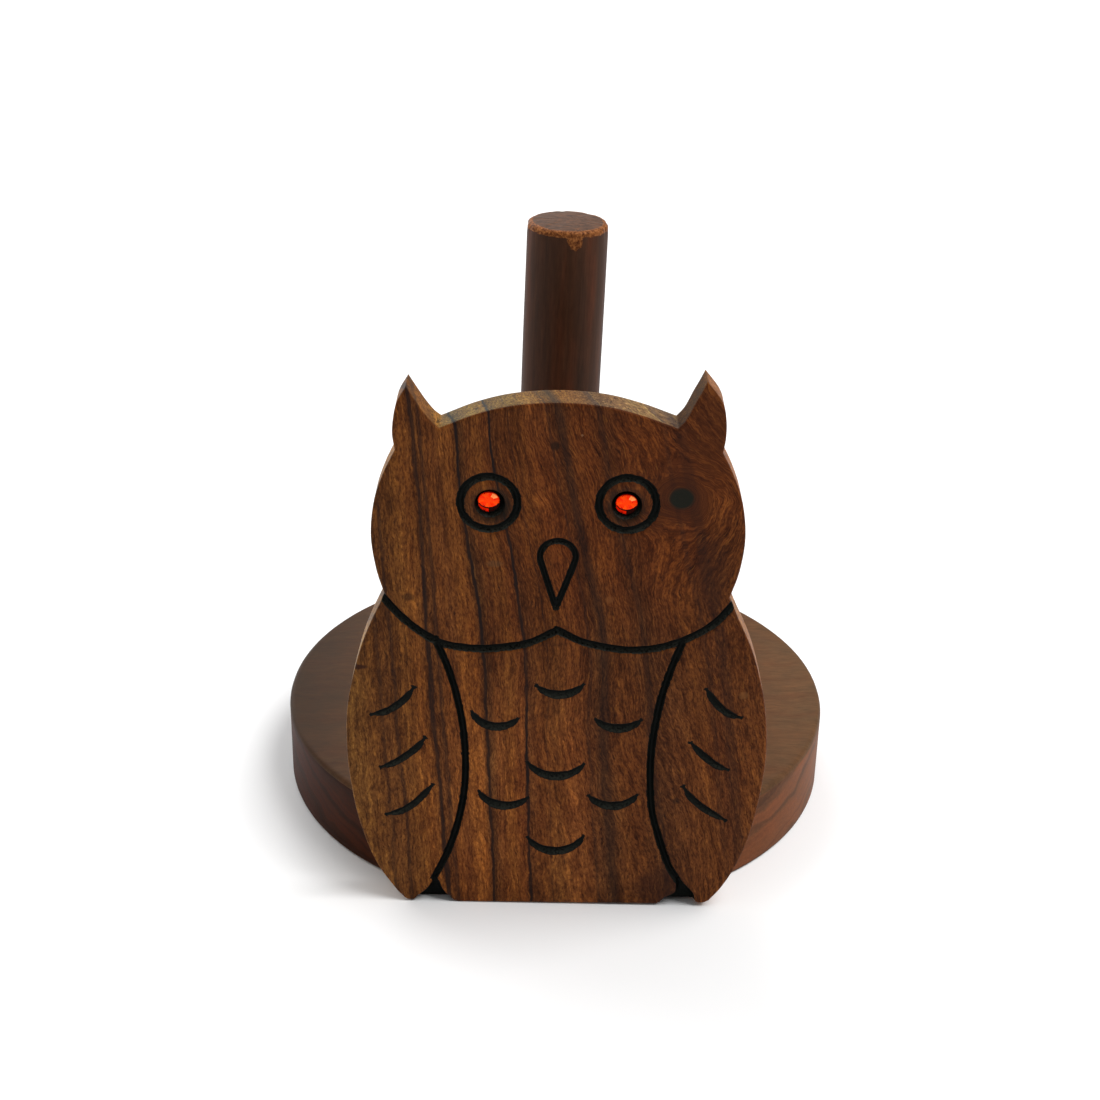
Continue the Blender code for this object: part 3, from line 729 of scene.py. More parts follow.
MARKS = [                                   # centre, half sizes, strength, colour
    ((-41.5, 103.5), (1.7, 1.1), 0.6, (38, 24, 16)),
    ((-57.2, 81.0), (3.4, 0.8), 0.85, (44, 22, 17)),
    ((-1.0, 149.2), (1.2, 1.3), 0.7, (32, 22, 16)),
    ((14.5, 103.2), (1.1, 1.1), 0.55, (120, 72, 38)),
    ((53.4, 73.0), (1.3, 1.2), 0.5, (112, 74, 42)),
    ((-17.4, 114.0), (2.2, 1.0), 0.4, (92, 66, 44)),
    ((35.5, 37.0), (1.1, 1.0), 0.6, (36, 24, 18)),
    ((31.5, 5.5), (7.5, 7.0), 0.5, (48, 27, 21)),
    ((42.5, 112.0), (4.2, 11.0), 0.4, (44, 25, 19)),
    ((6.2, 152.4), (0.35, 0.35), 0.5, (140, 100, 70)),
    ((41.0, 152.0), (7.0, 13.0), 0.45, (60, 28, 14)),
    ((-17.9, 131.3), (5.4, 5.0), 0.85, (26, 23, 18)),
    ((18.4, 131.5), (5.0, 4.9), 0.85, (26, 23, 18)),
]
BOARD_TONE = (1.16, 1.02, 0.78)
# gains by height: painted light from the floor's bounce, lighter towards the foot
FLOOR_BOUNCE_TONES = [(0.0, 1.22), (0.30, 1.22), (0.48, 1.0), (0.75, 0.94), (1.0, 0.90)]
RIM_REACH = 62.0                            # how far each way from the middle RIM_PAINTED_LIGHT go
RIM_PAINTED_LIGHT = [                               # place along x, gain on the sawn edge: painted sheen and painted light, and painted shade at the right ear's inner slope
    (-62.0, (1.50, 1.90, 2.30)), (-44.0, (1.30, 1.65, 1.90)), (-40.5, (1.08, 1.15, 0.92)),
    (-33.0, (1.00, 1.20, 1.15)), (-31.0, (0.80, 1.30, 1.20)), (-16.0, (1.05, 1.75, 1.60)),
    (0.0, (1.02, 1.32, 1.22)), (18.0, (1.17, 2.15, 3.50)), (31.4, (1.08, 1.95, 3.00)),
    (32.0, (0.40, 0.52, 0.42)), (38.0, (0.41, 0.53, 0.43)), (40.0, (1.30, 1.40, 1.20)),
    (50.0, (1.50, 1.80, 2.00)), (62.0, (1.70, 2.10, 2.60)),
]
# paler end grain, and painted sheen
RIM_PALENESS_AND_SHEEN = (1.75, 2.0, 2.2)
# the second tone is painted light, for paint on walls that face up
BLACK_PAINT, PAINT_LIT_TONE = (0.0040, 0.0048, 0.0042, 1.0), (0.030, 0.032, 0.026, 1.0)


def grain_place(g, x, z):
    """Where the grain line through a point crosses the owl's neck."""
    height = g.math("DIVIDE", z, FLOW_HEIGHT, clamp=True)
    lines = []
    for _, points in FLOW:
        knots = [(up / FLOW_HEIGHT, (at + FLOW_SIDE) / (2 * FLOW_SIDE)) for up, at in points]
        line = g.curve(height, knots)
        lines.append(g.math("MULTIPLY_ADD", line, 2 * FLOW_SIDE, -FLOW_SIDE))
    place = FLOW[0][0]
    for (left, _), (right, _), near, far in zip(FLOW, FLOW[1:], lines, lines[1:]):
        part = g.add("ShaderNodeMapRange", {0: x, 1: near, 2: far, 3: 0.0, 4: right - left})
        place = g.math("ADD", part.outputs[0], place)
    return place


def share_of_span(g, value, reach):
    """0 at -reach and 1 at reach."""
    return g.math("DIVIDE", g.math("ADD", value, reach), 2 * reach)


def board_colour(g, x, y, z, place):
    """Bands, broad lighter, darker and redder patches, and painted floor-bounce light that makes
    the lower board lighter.
    """
    stops = [((band + BAND_SPAN) / (2 * BAND_SPAN), srgb(*tone)) for band, tone in BOARD_BANDS]
    colour = g.ramp(share_of_span(g, place, BAND_SPAN), stops)
    cloud = g.noise((x, y, z), 0.05, 3.0, 0.6, stretch=(1.0, 1.0, 0.5))
    colour = g.tint(colour, cloud, [(0.35, (0.86, 0.80, 0.78)), (0.65, (1.10, 1.14, 1.15))])
    height = g.math("DIVIDE", z, FLOW_HEIGHT, clamp=True)
    colour = g.gain(g.tint(colour, height, even(*FLOOR_BOUNCE_TONES)), BOARD_TONE)
    for centre, sizes, soft, strength, gains in PATCHES:
        patch = g.math("MULTIPLY", g.spot(x, z, centre, sizes, soft), strength)
        colour = g.gain(colour, gains, patch)
    return colour


def fibre_course(g, place, x, z, off_x, ring):
    """Which fibre a point is on, and how far along it.

    Fibres lean where LEANS says, part round the knot, and close to it run in rings.
    """
    for centre, sizes, slope in LEANS:
        lean = g.math("MULTIPLY", g.spot(x, z, centre, sizes, soft=0.7), slope)
        place = g.math("MULTIPLY_ADD", lean, g.math("SUBTRACT", z, centre[1]), place)
    room = g.math("MULTIPLY_ADD", ring, ring, 40.0)
    parting = g.math("DIVIDE", g.math("MULTIPLY", off_x, 120.0), room)
    place = g.math("SUBTRACT", place, parting)
    swirl = g.between(ring, KNOT_RINGS, KNOT_RINGS / 3)
    return (g.blend(swirl, place, g.math("MULTIPLY", ring, 1.1)),
            g.blend(swirl, z, g.math("MULTIPLY", ring, 0.2)))


def sawn_edge(g, x, y, z, colour):
    """The board's sawn edge: paler end grain with painted sheen, painted light and painted shade,
    with saw marks and fine dark cracks.
    """
    colour = g.gain(colour, RIM_PALENESS_AND_SHEEN)
    stops = [((at + RIM_REACH) / (2 * RIM_REACH), gains) for at, gains in RIM_PAINTED_LIGHT]
    colour = g.tint(colour, share_of_span(g, x, RIM_REACH), stops)
    saw = g.noise((x, y, z), 3.0, 2.0, 0.6, stretch=(0.5, 0.35, 0.5))
    colour = g.tint(colour, saw, even((0.3, 0.84), (0.7, 1.14)))
    crack = g.noise((x, y, z), 1.0, 2.0, 0.5, stretch=(0.9, 0.25, 0.9))
    return g.cover(colour, (40, 32, 26), g.between(crack, 0.64, 0.72), 0.7)


def groove_paint(g, x, y, z, colour):
    """Black paint with a ragged edge, with painted light where its walls face up."""
    ragged = g.noise((x, y, z), 1.5, 3.0, 0.6)
    painted = g.between(g.sway(g.attribute("paint"), ragged, 0.7), 0.42, 0.58)
    normal = g.add("ShaderNodeTexCoord").outputs["Normal"]
    upward = g.add("ShaderNodeSeparateXYZ", {0: normal}).outputs[2]
    # painted light: greyer paint on walls that face up
    lit_walls = g.math("MULTIPLY", g.between(upward, 0.12, 0.75), g.between(ragged, 0.30, 0.62))
    return g.mix(painted, colour, g.mix(lit_walls, BLACK_PAINT, PAINT_LIT_TONE))


def board_wood(name, rim):
    """The board's streaked wood. rim makes the sawn edge's version: paler, with painted sheen,
    light and shade.
    """
    g = Graph(name)
    x, y, z = g.coordinates()
    inward = g.math("ADD", y, BOARD_THICKNESS)
    slow = g.noise((x, y, z), 0.06, 2.0, 0.5, stretch=(1.0, 1.0, 0.3))
    quick = g.noise((x, y, z), 0.42, 3.0, 0.6, stretch=(1.0, 1.0, 0.35))
    place = g.sway(g.sway(grain_place(g, x, z), slow, 3.0), quick, 1.5)
    place = g.math("MULTIPLY_ADD", inward, 0.35, place)
    colour = board_colour(g, x, y, z, place)

    off_x = g.math("SUBTRACT", x, KNOT[0])
    off_z = g.math("SUBTRACT", z, KNOT[1])
    ring = g.math("SQRT", g.math("MULTIPLY_ADD", off_z, g.math("MULTIPLY", off_z, 1.3),
                                 g.math("MULTIPLY", off_x, off_x)))
    ring = g.sway(ring, g.noise((x, y, z), 0.11, 2.0, 0.5), 6.0)
    fibre, along = fibre_course(g, place, x, z, off_x, ring)
    wavy = g.sway(fibre, g.noise((x, y, z), 0.16, 2.0, 0.5), 1.7)

    streaks = g.noise((fibre, y, along), 0.55, 3.0, 0.6, stretch=(1.0, 1.0, 0.05))
    colour = g.tint(colour, streaks, [(0.30, (0.74, 0.70, 0.70)), (0.5, (1.0, 1.0, 1.0)),
                                      (0.72, (1.22, 1.26, 1.20))])
    fibres = g.noise((wavy, y, along), 1.0, 4.0, 0.75, stretch=(1.35, 1.0, 0.13))
    colour = g.tint(colour, fibres, [(0.30, (0.38, 0.33, 0.33)), (0.5, (1.0, 1.0, 1.0)),
                                     (0.70, (1.85, 1.95, 1.60))])
    grit = g.noise((wavy, y, along), 1.0, 2.0, 0.6, stretch=(2.6, 1.0, 0.9))
    colour = g.tint(colour, grit, [(0.32, (0.58, 0.56, 0.56)), (0.68, (1.50, 1.54, 1.42))])
    flecks = g.noise((wavy, 7.0, along), 1.0, 2.0, 0.6, stretch=(1.6, 1.0, 0.20))
    colour = g.cover(colour, FLECK_COLOUR, g.between(flecks, 0.60, 0.74), 0.40)
    pores = g.noise((wavy, 3.0, along), 1.0, 2.0, 0.6, stretch=(2.1, 1.0, 0.24))
    pore = g.between(pores, 0.60, 0.70)
    colour = g.cover(colour, PORE_COLOUR, pore, 0.6)

    uneven = g.math("MULTIPLY_ADD", streaks, 1.1, 0.4)
    for at, half, strength in VEINS:
        gap = g.math("ABSOLUTE", g.math("SUBTRACT", place, at))
        vein = g.math("MULTIPLY", g.between(gap, half, half * 0.35), strength)
        vein = g.math("MULTIPLY", vein, uneven, clamp=True)
        colour = g.cover(colour, VEIN_COLOUR, vein)

    halo = g.between(g.math("MULTIPLY_ADD", off_x, 0.25, ring), 15.0, 3.0)
    lines = g.noise((ring, 0.0, 0.0), 0.8, 2.0, 0.5)
    halo = g.math("MULTIPLY", halo, g.math("MULTIPLY_ADD", lines, 0.9, 0.15), clamp=True)
    colour = g.cover(colour, HALO_COLOUR, halo)
    colour = g.cover(colour, KNOT_COLOUR, g.spot(x, z, KNOT, KNOT_SIZES, soft=0.22), 0.94)
    carved_side = g.between(inward, 5.0, 1.5)
    for centre, sizes, strength, tone in MARKS:
        mark = g.math("MULTIPLY", g.spot(x, z, centre, sizes), carved_side)
        colour = g.cover(colour, tone, mark, strength)

    if rim:
        colour = sawn_edge(g, x, y, z, colour)
    colour = groove_paint(g, x, y, z, colour)
    rough = g.math("MULTIPLY_ADD", fibres, 0.25, 0.40 if rim else 0.34)
    relief = g.math("SUBTRACT", fibres, g.math("MULTIPLY", pore, 0.7))
    return g.finish(specular=0.05 if rim else 0.04, Base_Color=colour, Roughness=rough,
                    Normal=g.bump(relief, 0.3, 0.12))


# ---------------------------------------------------------------- wood of base and post

BASE_TOP_TONES = tones((0.30, (74, 52, 40)), (0.5, (82, 58, 45)), (0.7, (76, 50, 38)))
BASE_SIDE_TONES = tones((0.32, (60, 38, 29)), (0.46, (88, 56, 42)), (0.54, (104, 62, 44)),
                        (0.62, (82, 50, 38)), (0.72, (62, 40, 32)))
# the second gain is painted light on the base's right end
BASE_GAIN, BASE_RIGHT_LIGHT = (1.24, 1.16, 0.80), (1.10, 1.20, 1.25)
# painted shade on the base's left end, on its top and on its side
TOP_LEFT_SHADE, SIDE_LEFT_SHADE = (0.36, 0.38, 0.38), (0.30, 0.20, 0.14)
POST_TONES = tones((0.35, (50, 36, 30)), (0.5, (60, 40, 31)), (0.65, (72, 43, 31)))
POST_END_TONES = tones((0.3, (52, 38, 32)), (0.5, (76, 58, 50)), (0.68, (94, 66, 50)))
BARE_TONES = tones((0.35, (66, 36, 18)), (0.5, (108, 68, 38)), (0.65, (142, 96, 60)))
POST_GAIN = (1.30, 1.12, 0.88)


def base_wood(name, side):
    """The base's plainer wood. side is its turned edge, redder and more figured. Its left end has
    painted shade and its right end painted light.
    """
    g = Graph(name)
    x, y, z = g.coordinates()
    bend = g.noise((x, y, z), 0.03, 3.0, 0.55)
    layer = g.math("MULTIPLY_ADD", y, -0.35, z) if side else y
    layer = g.sway(layer, bend, 22.0)
    bands = g.noise((x, layer, 0.0), 0.13, 3.0, 0.55, stretch=(0.02, 1.0, 1.0))
    colour = g.ramp(bands, BASE_SIDE_TONES if side else BASE_TOP_TONES)
    across = g.sway(y, bend, 8.0)
    fibres = g.noise((x, across, z), 1.0, 4.0, 0.7, stretch=(0.25, 1.3, 1.3))
    colour = g.tint(colour, fibres, even((0.3, 0.78), (0.7, 1.22)))
    cloud = g.noise((x, y, z), 0.09, 3.0, 0.6)
    colour = g.tint(colour, cloud, [(0.35, (0.93, 0.96, 1.0)), (0.65, (1.10, 1.02, 0.98))])
    if side:                                # the left end gets painted shade
        colour = g.gain(colour, SIDE_LEFT_SHADE, g.between(x, 20.0, -60.0))
    else:
        colour = g.gain(colour, TOP_LEFT_SHADE, g.between(x, -40.0, -92.0))
    colour = g.gain(colour, BASE_GAIN)
    # painted light on the right end
    colour = g.gain(colour, BASE_RIGHT_LIGHT, g.between(x, 60.0, 90.0))
    return g.finish(specular=0.05, Base_Color=colour,
                    Roughness=g.math("MULTIPLY_ADD", fibres, 0.2, 0.40),
                    Normal=g.bump(fibres, 0.25, 0.1))


def post_wood():
    """The post's streaked wood, its end's pale arcs, and a rim worn back to bare wood."""
    g = Graph("post_wood")
    x, y, z = g.coordinates()
    slow = g.noise((x, y, z), 0.13, 3.0, 0.6, stretch=(1.0, 1.0, 0.12))
    colour = g.ramp(slow, POST_TONES)
    streaks = g.noise((x, y, z), 0.8, 4.0, 0.65, stretch=(1.0, 1.0, 0.06))
    colour = g.tint(colour, streaks, [(0.3, (0.8, 0.8, 0.8)), (0.7, (1.2, 1.17, 1.15))])
    fibres = g.noise((x, y, z), 1.0, 4.0, 0.7, stretch=(1.6, 1.6, 0.2))
    colour = g.tint(colour, fibres, even((0.3, 0.84), (0.7, 1.16)))
    end = g.between(z, POST_LENGTH - 1.9, POST_LENGTH - 1.4)
    bent = g.math("MULTIPLY_ADD", slow, 14.0, x)
    arcs = g.noise((bent, y, 0.0), 0.35, 3.0, 0.6, stretch=(1.0, 2.2, 1.0))
    colour = g.mix(end, colour, g.ramp(arcs, POST_END_TONES))

    # Chips run round the rim, and one larger patch is at its front.
    off_axis = g.math("SQRT", g.math("MULTIPLY_ADD", x, x, g.math("MULTIPLY", y, y)))
    band = g.math("MULTIPLY", g.between(z, POST_LENGTH - 3.2, POST_LENGTH - 1.6),
                  g.between(off_axis, POST_RADIUS - 2.2, POST_RADIUS - 1.0))
    worn = g.noise((x, y, z), 0.45, 4.0, 0.7)
    chips = g.between(g.sway(band, worn, 1.7), 0.5, 0.75)
    patch = g.spot(x, z, (2.2, POST_LENGTH - 3.2), (2.6, 2.6), soft=0.5)
    patch = g.math("MULTIPLY", patch, g.between(y, 0.0, -2.0))
    patch = g.between(g.sway(patch, worn, 2.0), 0.5, 0.8)
    bare = g.ramp(g.noise((x, y, z), 1.3, 3.0, 0.6), BARE_TONES)
    colour = g.gain(g.mix(g.math("MAXIMUM", chips, patch), colour, bare), POST_GAIN)
    return g.finish(specular=0.07, Base_Color=colour,
                    Roughness=g.math("MULTIPLY_ADD", fibres, 0.25, 0.40),
                    Normal=g.bump(fibres, 0.25, 0.1))


# ---------------------------------------------------------------- stone, filler, metal

STONE_TONES = tones((0.0, (20, 12, 10)), (0.2, (60, 8, 4)), (0.45, (190, 14, 2)),
                    (0.65, (240, 38, 1)), (0.85, (252, 82, 3)), (1.0, (255, 150, 84)))
FILLER_TONES = tones((0.35, (52, 33, 22)), (0.65, (80, 52, 33)))
NAIL_METAL = [(0.3, (0.30, 0.29, 0.28)), (0.7, (0.52, 0.51, 0.50))]
SCREW_METAL = [(0.3, (0.42, 0.40, 0.35)), (0.7, (0.66, 0.64, 0.58))]


def eye_stone():
    """Foil-backed orange-red stone that glows with painted light. Each facet says how much
    painted glow it has: pale for a painted glint, dark for painted shade.
    """
    g = Graph("eye_glass")
    x, y, z = g.coordinates()
    cloud = g.noise((x, y, z), 1.0, 3.0, 0.6, stretch=(1.3, 0.7, 1.0))
    # dark streaks through the stone's painted glow
    dark_streaks = g.math("MULTIPLY", g.between(cloud, 0.56, 0.68), 0.45)
    painted_glow = g.sway(g.math("SUBTRACT", g.attribute("painted_glow"), dark_streaks), cloud, 0.3)
    colour = g.ramp(painted_glow, STONE_TONES)
    # the stone glows: painted light, with no lamp inside it
    return g.finish(specular=0.04, Base_Color=colour, Roughness=0.12, Emission_Color=colour,
                    Emission_Strength=0.3)


def filler():
    g = Graph("wood_filler")
    x, y, z = g.coordinates()
    grain = g.noise((x, y, z), 1.2, 3.0, 0.6)
    return g.finish(specular=0.1, Base_Color=g.ramp(grain, FILLER_TONES),
                    Roughness=g.math("MULTIPLY_ADD", grain, 0.2, 0.55),
                    Normal=g.bump(grain, 0.4, 0.1))


def steel(name, metal, roughness):
    g = Graph(name)
    x, y, z = g.coordinates()
    marks = g.noise((x, y, z), 1.2, 3.0, 0.6, stretch=(1.0, 1.0, 4.0))
    return g.finish(specular=0.5, Base_Color=g.ramp(marks, metal), Metallic=1.0,
                    Roughness=g.math("MULTIPLY_ADD", marks, 0.25, roughness),
                    Normal=g.bump(marks, 0.2, 0.05))


# ---------------------------------------------------------------- pieces

SCREW_CENTRE, SCREW_HOLE_RADIUS = (-3.9, 0.0), 4.5
POST_ROUND, POST_CROWN = 1.3, 0.5           # its top: rounded rim, rise in the middle
POST_CHIP, POST_CHIP_DROP = 0.7, 0.3        # how far chips go in and down
CHIP_HEIGHT, CHIP_REACH = POST_LENGTH - 1.4, 2.6
GEM_SHIFTS = {"left": (0.0, 0.0, -0.15), "right": (-0.35, 0.0, -0.5)}
GEM_FACETS = 16
GEM_RINGS = [                               # share across and up, height, rise of its centre
    (0.55, 0.55, 0.0, 0.0), (1.0, 1.0, 1.0, 0.0), (1.0, 1.0, 1.3, 0.0),
    (0.96, 0.80, 1.85, 0.57), (0.90, 0.69, 2.2, 0.78), (0.45, 0.32, 2.3, 0.85),
]
BACK_GLOW, TABLE_GLOW = 0.3, 0.72           # painted glow of the stone's back and table


def make_board():
    spacing = 0.45
    beak = teardrop_line(BEAK_CENTRE, BEAK_RADIUS, BEAK_TIP, spacing)
    carving = [
        Groove(smooth(NECK_LEFT, spacing), width=2.3, depth=1.6, seed=1.0),
        Groove(smooth(NECK_RIGHT, spacing), width=2.2, depth=1.6, seed=2.0),
        Groove(smooth(WING_LEFT, spacing), width=2.0, depth=1.5, seed=3.0),
        Groove(smooth(WING_RIGHT, spacing), width=1.9, depth=1.5, seed=4.0),
        Groove(beak, width=1.5, depth=1.2, seed=5.0),
    ]
    for seed, centre in enumerate(RING_CENTRES, 6):
        line = circle_line(centre, RING_RADIUS, spacing)
        carving.append(Groove(line, width=1.9, depth=1.3, seed=float(seed)))
    for seed, ends in enumerate(CRESCENTS, 10):
        line = arc_line(*ends, spacing)
        carving.append(Groove(line, width=2.8, depth=1.3, seed=float(seed), feather=True))
    for seed, points in enumerate(WING_MARKS, 20):
        line = smooth(points, spacing)
        carving.append(Groove(line, width=2.2, depth=1.1, seed=float(seed), feather=True))
    for centre in SOCKET_CENTRES:
        line = circle_line(centre, SOCKET_RADIUS, spacing)[:-1]
        carving.append(Pit(line, depth=3.2, wall=0.3, paint=1.0))
    for points in (RECESS_LEFT, RECESS_RIGHT):
        line = closed_outline([points + points[:1]], 0.5)
        carving.append(Pit(line, depth=3.0, wall=0.7, paint=1.0))
    board = slab("carved_owl_board", closed_outline(OUTLINE, 0.55), BOARD_THICKNESS,
                 lambda across, up, depth: (across, depth - BOARD_THICKNESS, up),
                 front=carving)
    board.matrix_world = BOARD_FRAME
    board.data.materials.append(board_wood("board_wood", rim=False))
    board.data.materials.append(board_wood("board_wood_rim", rim=True))
    return board


def make_base():
    reach = math.asin(-BASE_FLAT / BASE_RADIUS)
    arc = round_points((0.0, 0.0), BASE_RADIUS, np.linspace(-reach, math.pi + reach, 280))
    flat = np.linspace(arc[-1], arc[0], 50)[1:-1]
    post_line = circle_line((POST_SHIFT, 0.0), POST_RADIUS + 0.15, 0.8)[:-1]
    screw_line = circle_line(SCREW_CENTRE, SCREW_HOLE_RADIUS, 0.5)[:-1]
    base = slab("base_round", np.vstack([arc, flat]), BASE_THICKNESS,
                lambda across, up, depth: (across, up, BASE_THICKNESS - depth),
                front=[Pit(post_line, depth=SOCKET_DEPTH, wall=0.1, paint=0.0)],
                back=[Pit(screw_line, depth=3.4, wall=1.4, paint=0.0)],
                arris=(1.6, 1.0), step=3.0, rim_rows=14, waviness=0.05)
    base.data.materials.append(base_wood("base_wood", side=False))
    base.data.materials.append(base_wood("base_wood_side", side=True))
    return base


def make_post():
    bevel = 0.4                             # at the foot, in the socket
    steps = 12
    top = POST_LENGTH - POST_CROWN
    radius = POST_RADIUS + 0.1
    foot = -SOCKET_DEPTH
    profile = [(0.0, foot), (POST_RADIUS - bevel, foot), (POST_RADIUS, foot + bevel)]
    profile += [(radius, height) for height in np.linspace(0.0, top - POST_ROUND, 60)]
    for step in range(1, steps + 1):
        angle = math.pi / 2 * step / steps
        profile.append((radius - POST_ROUND * (1 - math.cos(angle)),
                        top - POST_ROUND + POST_ROUND * math.sin(angle)))
    for step in range(1, steps + 1):
        share = 1 - step / steps
        profile.append(((radius - POST_ROUND) * share, top + POST_CROWN * (1 - share ** 2)))

    def worn(out, height, angle):
        """Slow hand-made unevenness all over, and small chips near the rim."""
        x, y = math.cos(angle) * 2.2, math.sin(angle) * 2.2
        slow = noise.noise((x * 0.4, y * 0.4, height * 0.02)) * 0.12
        near_end = max(0.0, 1 - abs(height - CHIP_HEIGHT) / CHIP_REACH)
        chip = near_end * max(0.0, noise.noise((x * 2.0, y * 2.0, height * 0.4)) + 0.1)
        return (out + (slow - POST_CHIP * chip) * min(1.0, out / 6),
                height - POST_CHIP_DROP * chip * min(1.0, out / 9))

    post = lathe("turned_post", profile, 128, worn)
    post.matrix_world = POST_FRAME
    post.data.materials.append(post_wood())
    return post


def into_board(low, high):
    """The frame of a piece that sits in the board: its Z points out of the board's face."""
    centre = (low + high) / 2
    return (Matrix.Translation((centre.x, high.y, centre.z))
            @ Matrix.Rotation(math.pi / 2, 4, "X"))


def make_gem(side, stone):
    """A cut stone: foiled back, girdle, two rings of facets and an oval, many-sided table.

    The stone sits a little crooked, so its table is near the top of the socket and the
    facets below it are wide, with painted shade.
    """
    low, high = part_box("eye_gem_" + side)
    shift = Vector(GEM_SHIFTS[side]) * MM
    girdle = (high.x - low.x) / 2
    turns = np.arange(GEM_FACETS) * 2 * math.pi / GEM_FACETS
    vertices, loops = [], []
    for across, up, height, rise in GEM_RINGS:
        loops.append(range(len(vertices), len(vertices) + GEM_FACETS))
        vertices += [(girdle * across * math.cos(turn),
                      girdle * up * math.sin(turn) + rise * MM, height * MM) for turn in turns]
    faces = [tuple(reversed(loops[0])), tuple(loops[-1])]
    painted_glows = [BACK_GLOW, TABLE_GLOW]
    for ring, (inner, outer) in enumerate(zip(loops, loops[1:])):
        for step in range(GEM_FACETS):
            after = (step + 1) % GEM_FACETS
            faces.append((inner[step], inner[after], outer[after], outer[step]))
            painted_glows.append(painted_facet_glow(ring, 2 * math.pi * (step + 0.5) / GEM_FACETS))
    mesh = bpy.data.meshes.new("eye_stone_" + side)
    mesh.from_pydata(vertices, [], faces)
    layer = mesh.attributes.new("painted_glow", "FLOAT", "FACE")
    layer.data.foreach_set("value", np.array(painted_glows, np.float32))
    mesh.materials.append(stone)
    gem = linked(mesh)
    gem.matrix_world = Matrix.Translation(shift) @ into_board(low, high)
    return gem


def painted_facet_glow(ring, angle):
    """How much painted glow a facet of a gem's ring gets, by the way it faces round the stone."""
    turn = math.degrees(angle)
    flicker = 0.07 * math.sin(angle * 5.0 + ring)
    if ring == 4:                           # round the table, with one painted pale glint
        return 1.0 if 15 < turn < 60 else TABLE_GLOW + flicker
    if ring == 3:                           # the crown, with painted shade below
        return 0.03 if 200 < turn < 345 else 0.62 + flicker
    if ring == 2:                           # the girdle's upper edge, with one painted red spark
        return 0.55 if 195 < turn < 262 else 0.10
    return 0.12


def make_filler(spot, paste):
    """A plug of filler, pressed in by hand and a little sunk in its middle."""
    low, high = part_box("nail_filler_" + spot)
    radius = (high.x - low.x) / 2 / MM
    depth = (high.y - low.y) / MM
    profile = [(0.0, 0.0), (radius, 0.0), (radius, depth - 0.25), (radius - 0.12, depth - 0.12),
               (radius * 0.6, depth - 0.2), (radius * 0.3, depth - 0.26), (0.0, depth - 0.28)]

    def pressed(out, height, angle):
        rough = noise.noise((math.cos(angle) * 2.0 + low.x, math.sin(angle) * 2.0, height))
        return out * (1 + 0.03 * rough), height + (0.05 * rough if height > depth / 2 else 0.0)

    plug = lathe("filler_plug_" + spot, profile, 32, pressed)
    plug.matrix_world = into_board(low, high)
    plug.data.materials.append(paste)
    return plug


# ---------------------------------------------------------------- studio

WHITE = (1.0, 1.0, 1.0, 1.0)
FLOOR_WHITE = (0.93, 0.93, 0.93, 1.0)
FLOOR_HALF = 6.0                            # metres
BRIGHT_SIDE = (-0.3, 0.9, 0.1)              # where the surround is brightest
WORLD_DIM, WORLD_BRIGHT = 0.08, 0.75
LAMPS = [                                   # name, where from, energy, how wide in degrees
    ("key", (1.0, -0.14, 1.67), 2.7, 40),
    ("back", (-0.5, 0.75, 0.55), 1.6, 60),
]
CAMERA_PLACE = (-0.002802, -0.544611, 0.340290)
CAMERA_PITCH, CAMERA_ROLL = math.radians(25.82), math.radians(1.1326)
SENSOR_WIDTH, FOCAL_LENGTH = 36.0, 60.70


def add_floor():
    mesh = bpy.data.meshes.new("studio_floor")
    corners = [(x * FLOOR_HALF, y * FLOOR_HALF, 0)
               for x, y in ((-1, -1), (1, -1), (1, 1), (-1, 1))]
    mesh.from_pydata(corners, [], [(0, 1, 2, 3)])
    g = Graph("floor_white")
    mesh.materials.append(g.finish(specular=0.0, Base_Color=FLOOR_WHITE, Roughness=0.9))
    linked(mesh)


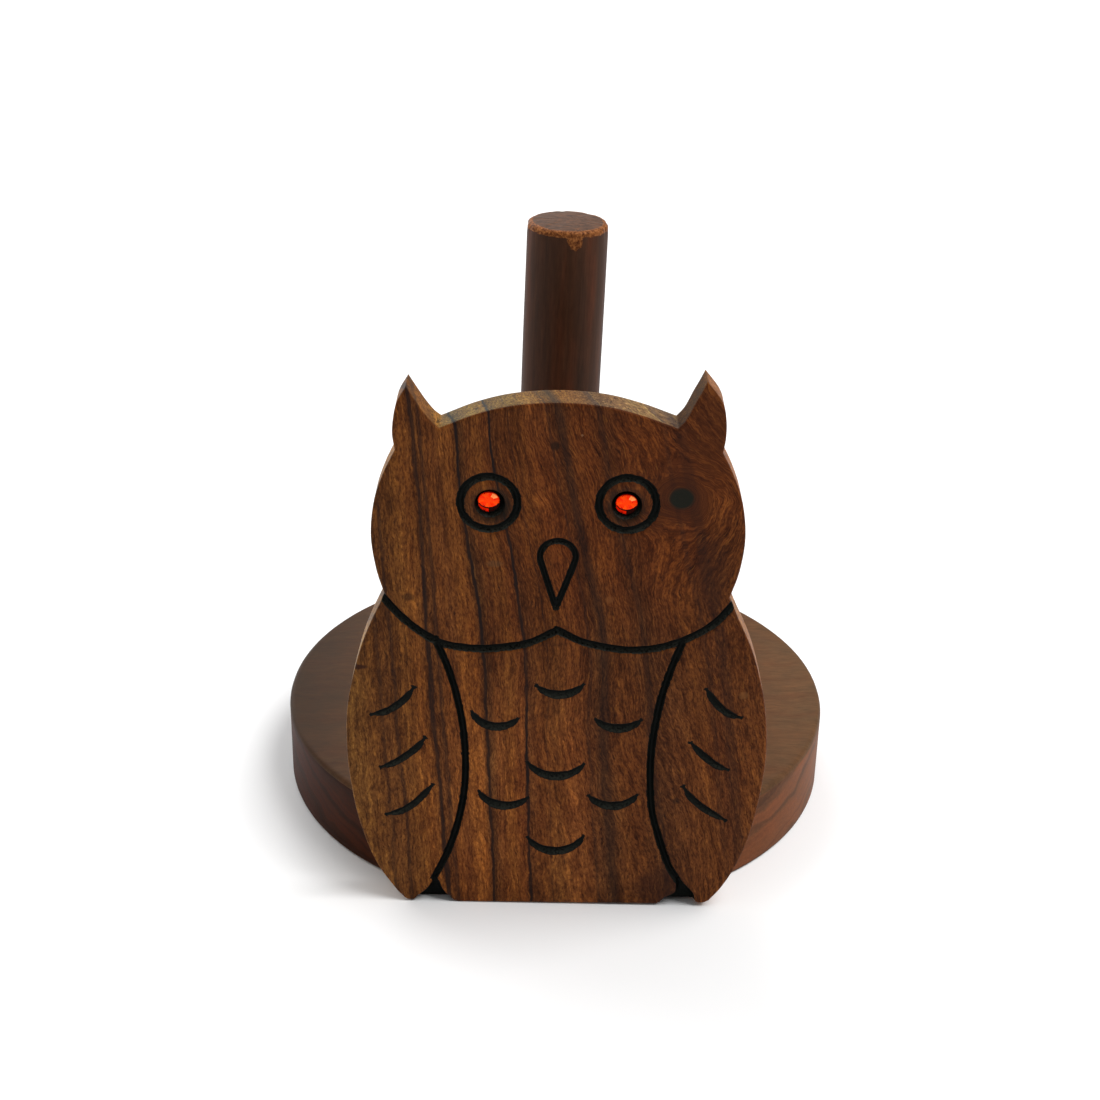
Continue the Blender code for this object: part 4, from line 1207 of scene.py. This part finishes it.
def add_light():
    """A surround that is white to the camera and brighter behind, and two soft lamps."""
    SCENE.world = bpy.data.worlds.new("studio")
    SCENE.world.use_nodes = True
    nodes, links = SCENE.world.node_tree.nodes, SCENE.world.node_tree.links
    toward = nodes.new("ShaderNodeVectorMath")
    toward.operation = "DOT_PRODUCT"
    toward.inputs[1].default_value = Vector(BRIGHT_SIDE).normalized()
    links.new(nodes.new("ShaderNodeTexCoord").outputs["Generated"], toward.inputs[0])
    spread = nodes.new("ShaderNodeMapRange")
    for slot, value in enumerate((-1.0, 1.0, WORLD_DIM, WORLD_BRIGHT), 1):
        spread.inputs[slot].default_value = value
    links.new(toward.outputs["Value"], spread.inputs[0])
    seen = nodes.new("ShaderNodeMix")
    seen.inputs[3].default_value = 1.0
    links.new(nodes.new("ShaderNodeLightPath").outputs["Is Camera Ray"], seen.inputs[0])
    links.new(spread.outputs[0], seen.inputs[2])
    links.new(seen.outputs[0], nodes["Background"].inputs["Strength"])
    nodes["Background"].inputs["Color"].default_value = WHITE
    for name, source, energy, width in LAMPS:
        sun = bpy.data.lights.new(name, "SUN")
        sun.energy = energy
        sun.angle = math.radians(width)
        linked(sun).rotation_euler = Vector(source).to_track_quat("Z", "Y").to_euler()


def add_camera():
    lens = bpy.data.cameras.new("camera")
    lens.sensor_width = SENSOR_WIDTH
    lens.lens = FOCAL_LENGTH
    lens.clip_start, lens.clip_end = 0.01, 50.0
    camera = linked(lens)
    camera.matrix_world = (Matrix.Translation(CAMERA_PLACE)
                           @ Matrix.Rotation(math.pi / 2 - CAMERA_PITCH, 4, "X")
                           @ Matrix.Rotation(CAMERA_ROLL, 4, "Z"))
    bpy.context.scene.camera = camera
    SCENE.view_settings.view_transform = "Standard"


# ---------------------------------------------------------------- assembly

stone = eye_stone()
paste = filler()
replacements = [
    (make_board(), "owl_board", "board_wood"),
    (make_base(), "base_disc", "base_wood"),
    (make_post(), "roll_post", "post_wood"),
]
for side in ("left", "right"):
    replacements.append((make_gem(side, stone), "eye_gem_" + side, "eye_glass"))
for spot in ("left", "centre", "right"):
    replacements.append((make_filler(spot, paste), "nail_filler_" + spot, "wood_filler"))
for piece, node, finish in replacements:
    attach(piece, "root")
    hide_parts(node)

nail_metal = steel("nail_steel", NAIL_METAL, roughness=0.3)
screw_metal = steel("screw_steel", SCREW_METAL, roughness=0.25)
kept = {"post_screw": screw_metal}
for spot in ("left", "centre", "right"):
    kept["board_nail_" + spot] = nail_metal
for node, metal in kept.items():
    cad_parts[node].data.materials.clear()
    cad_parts[node].data.materials.append(metal)

add_floor()
add_light()
add_camera()
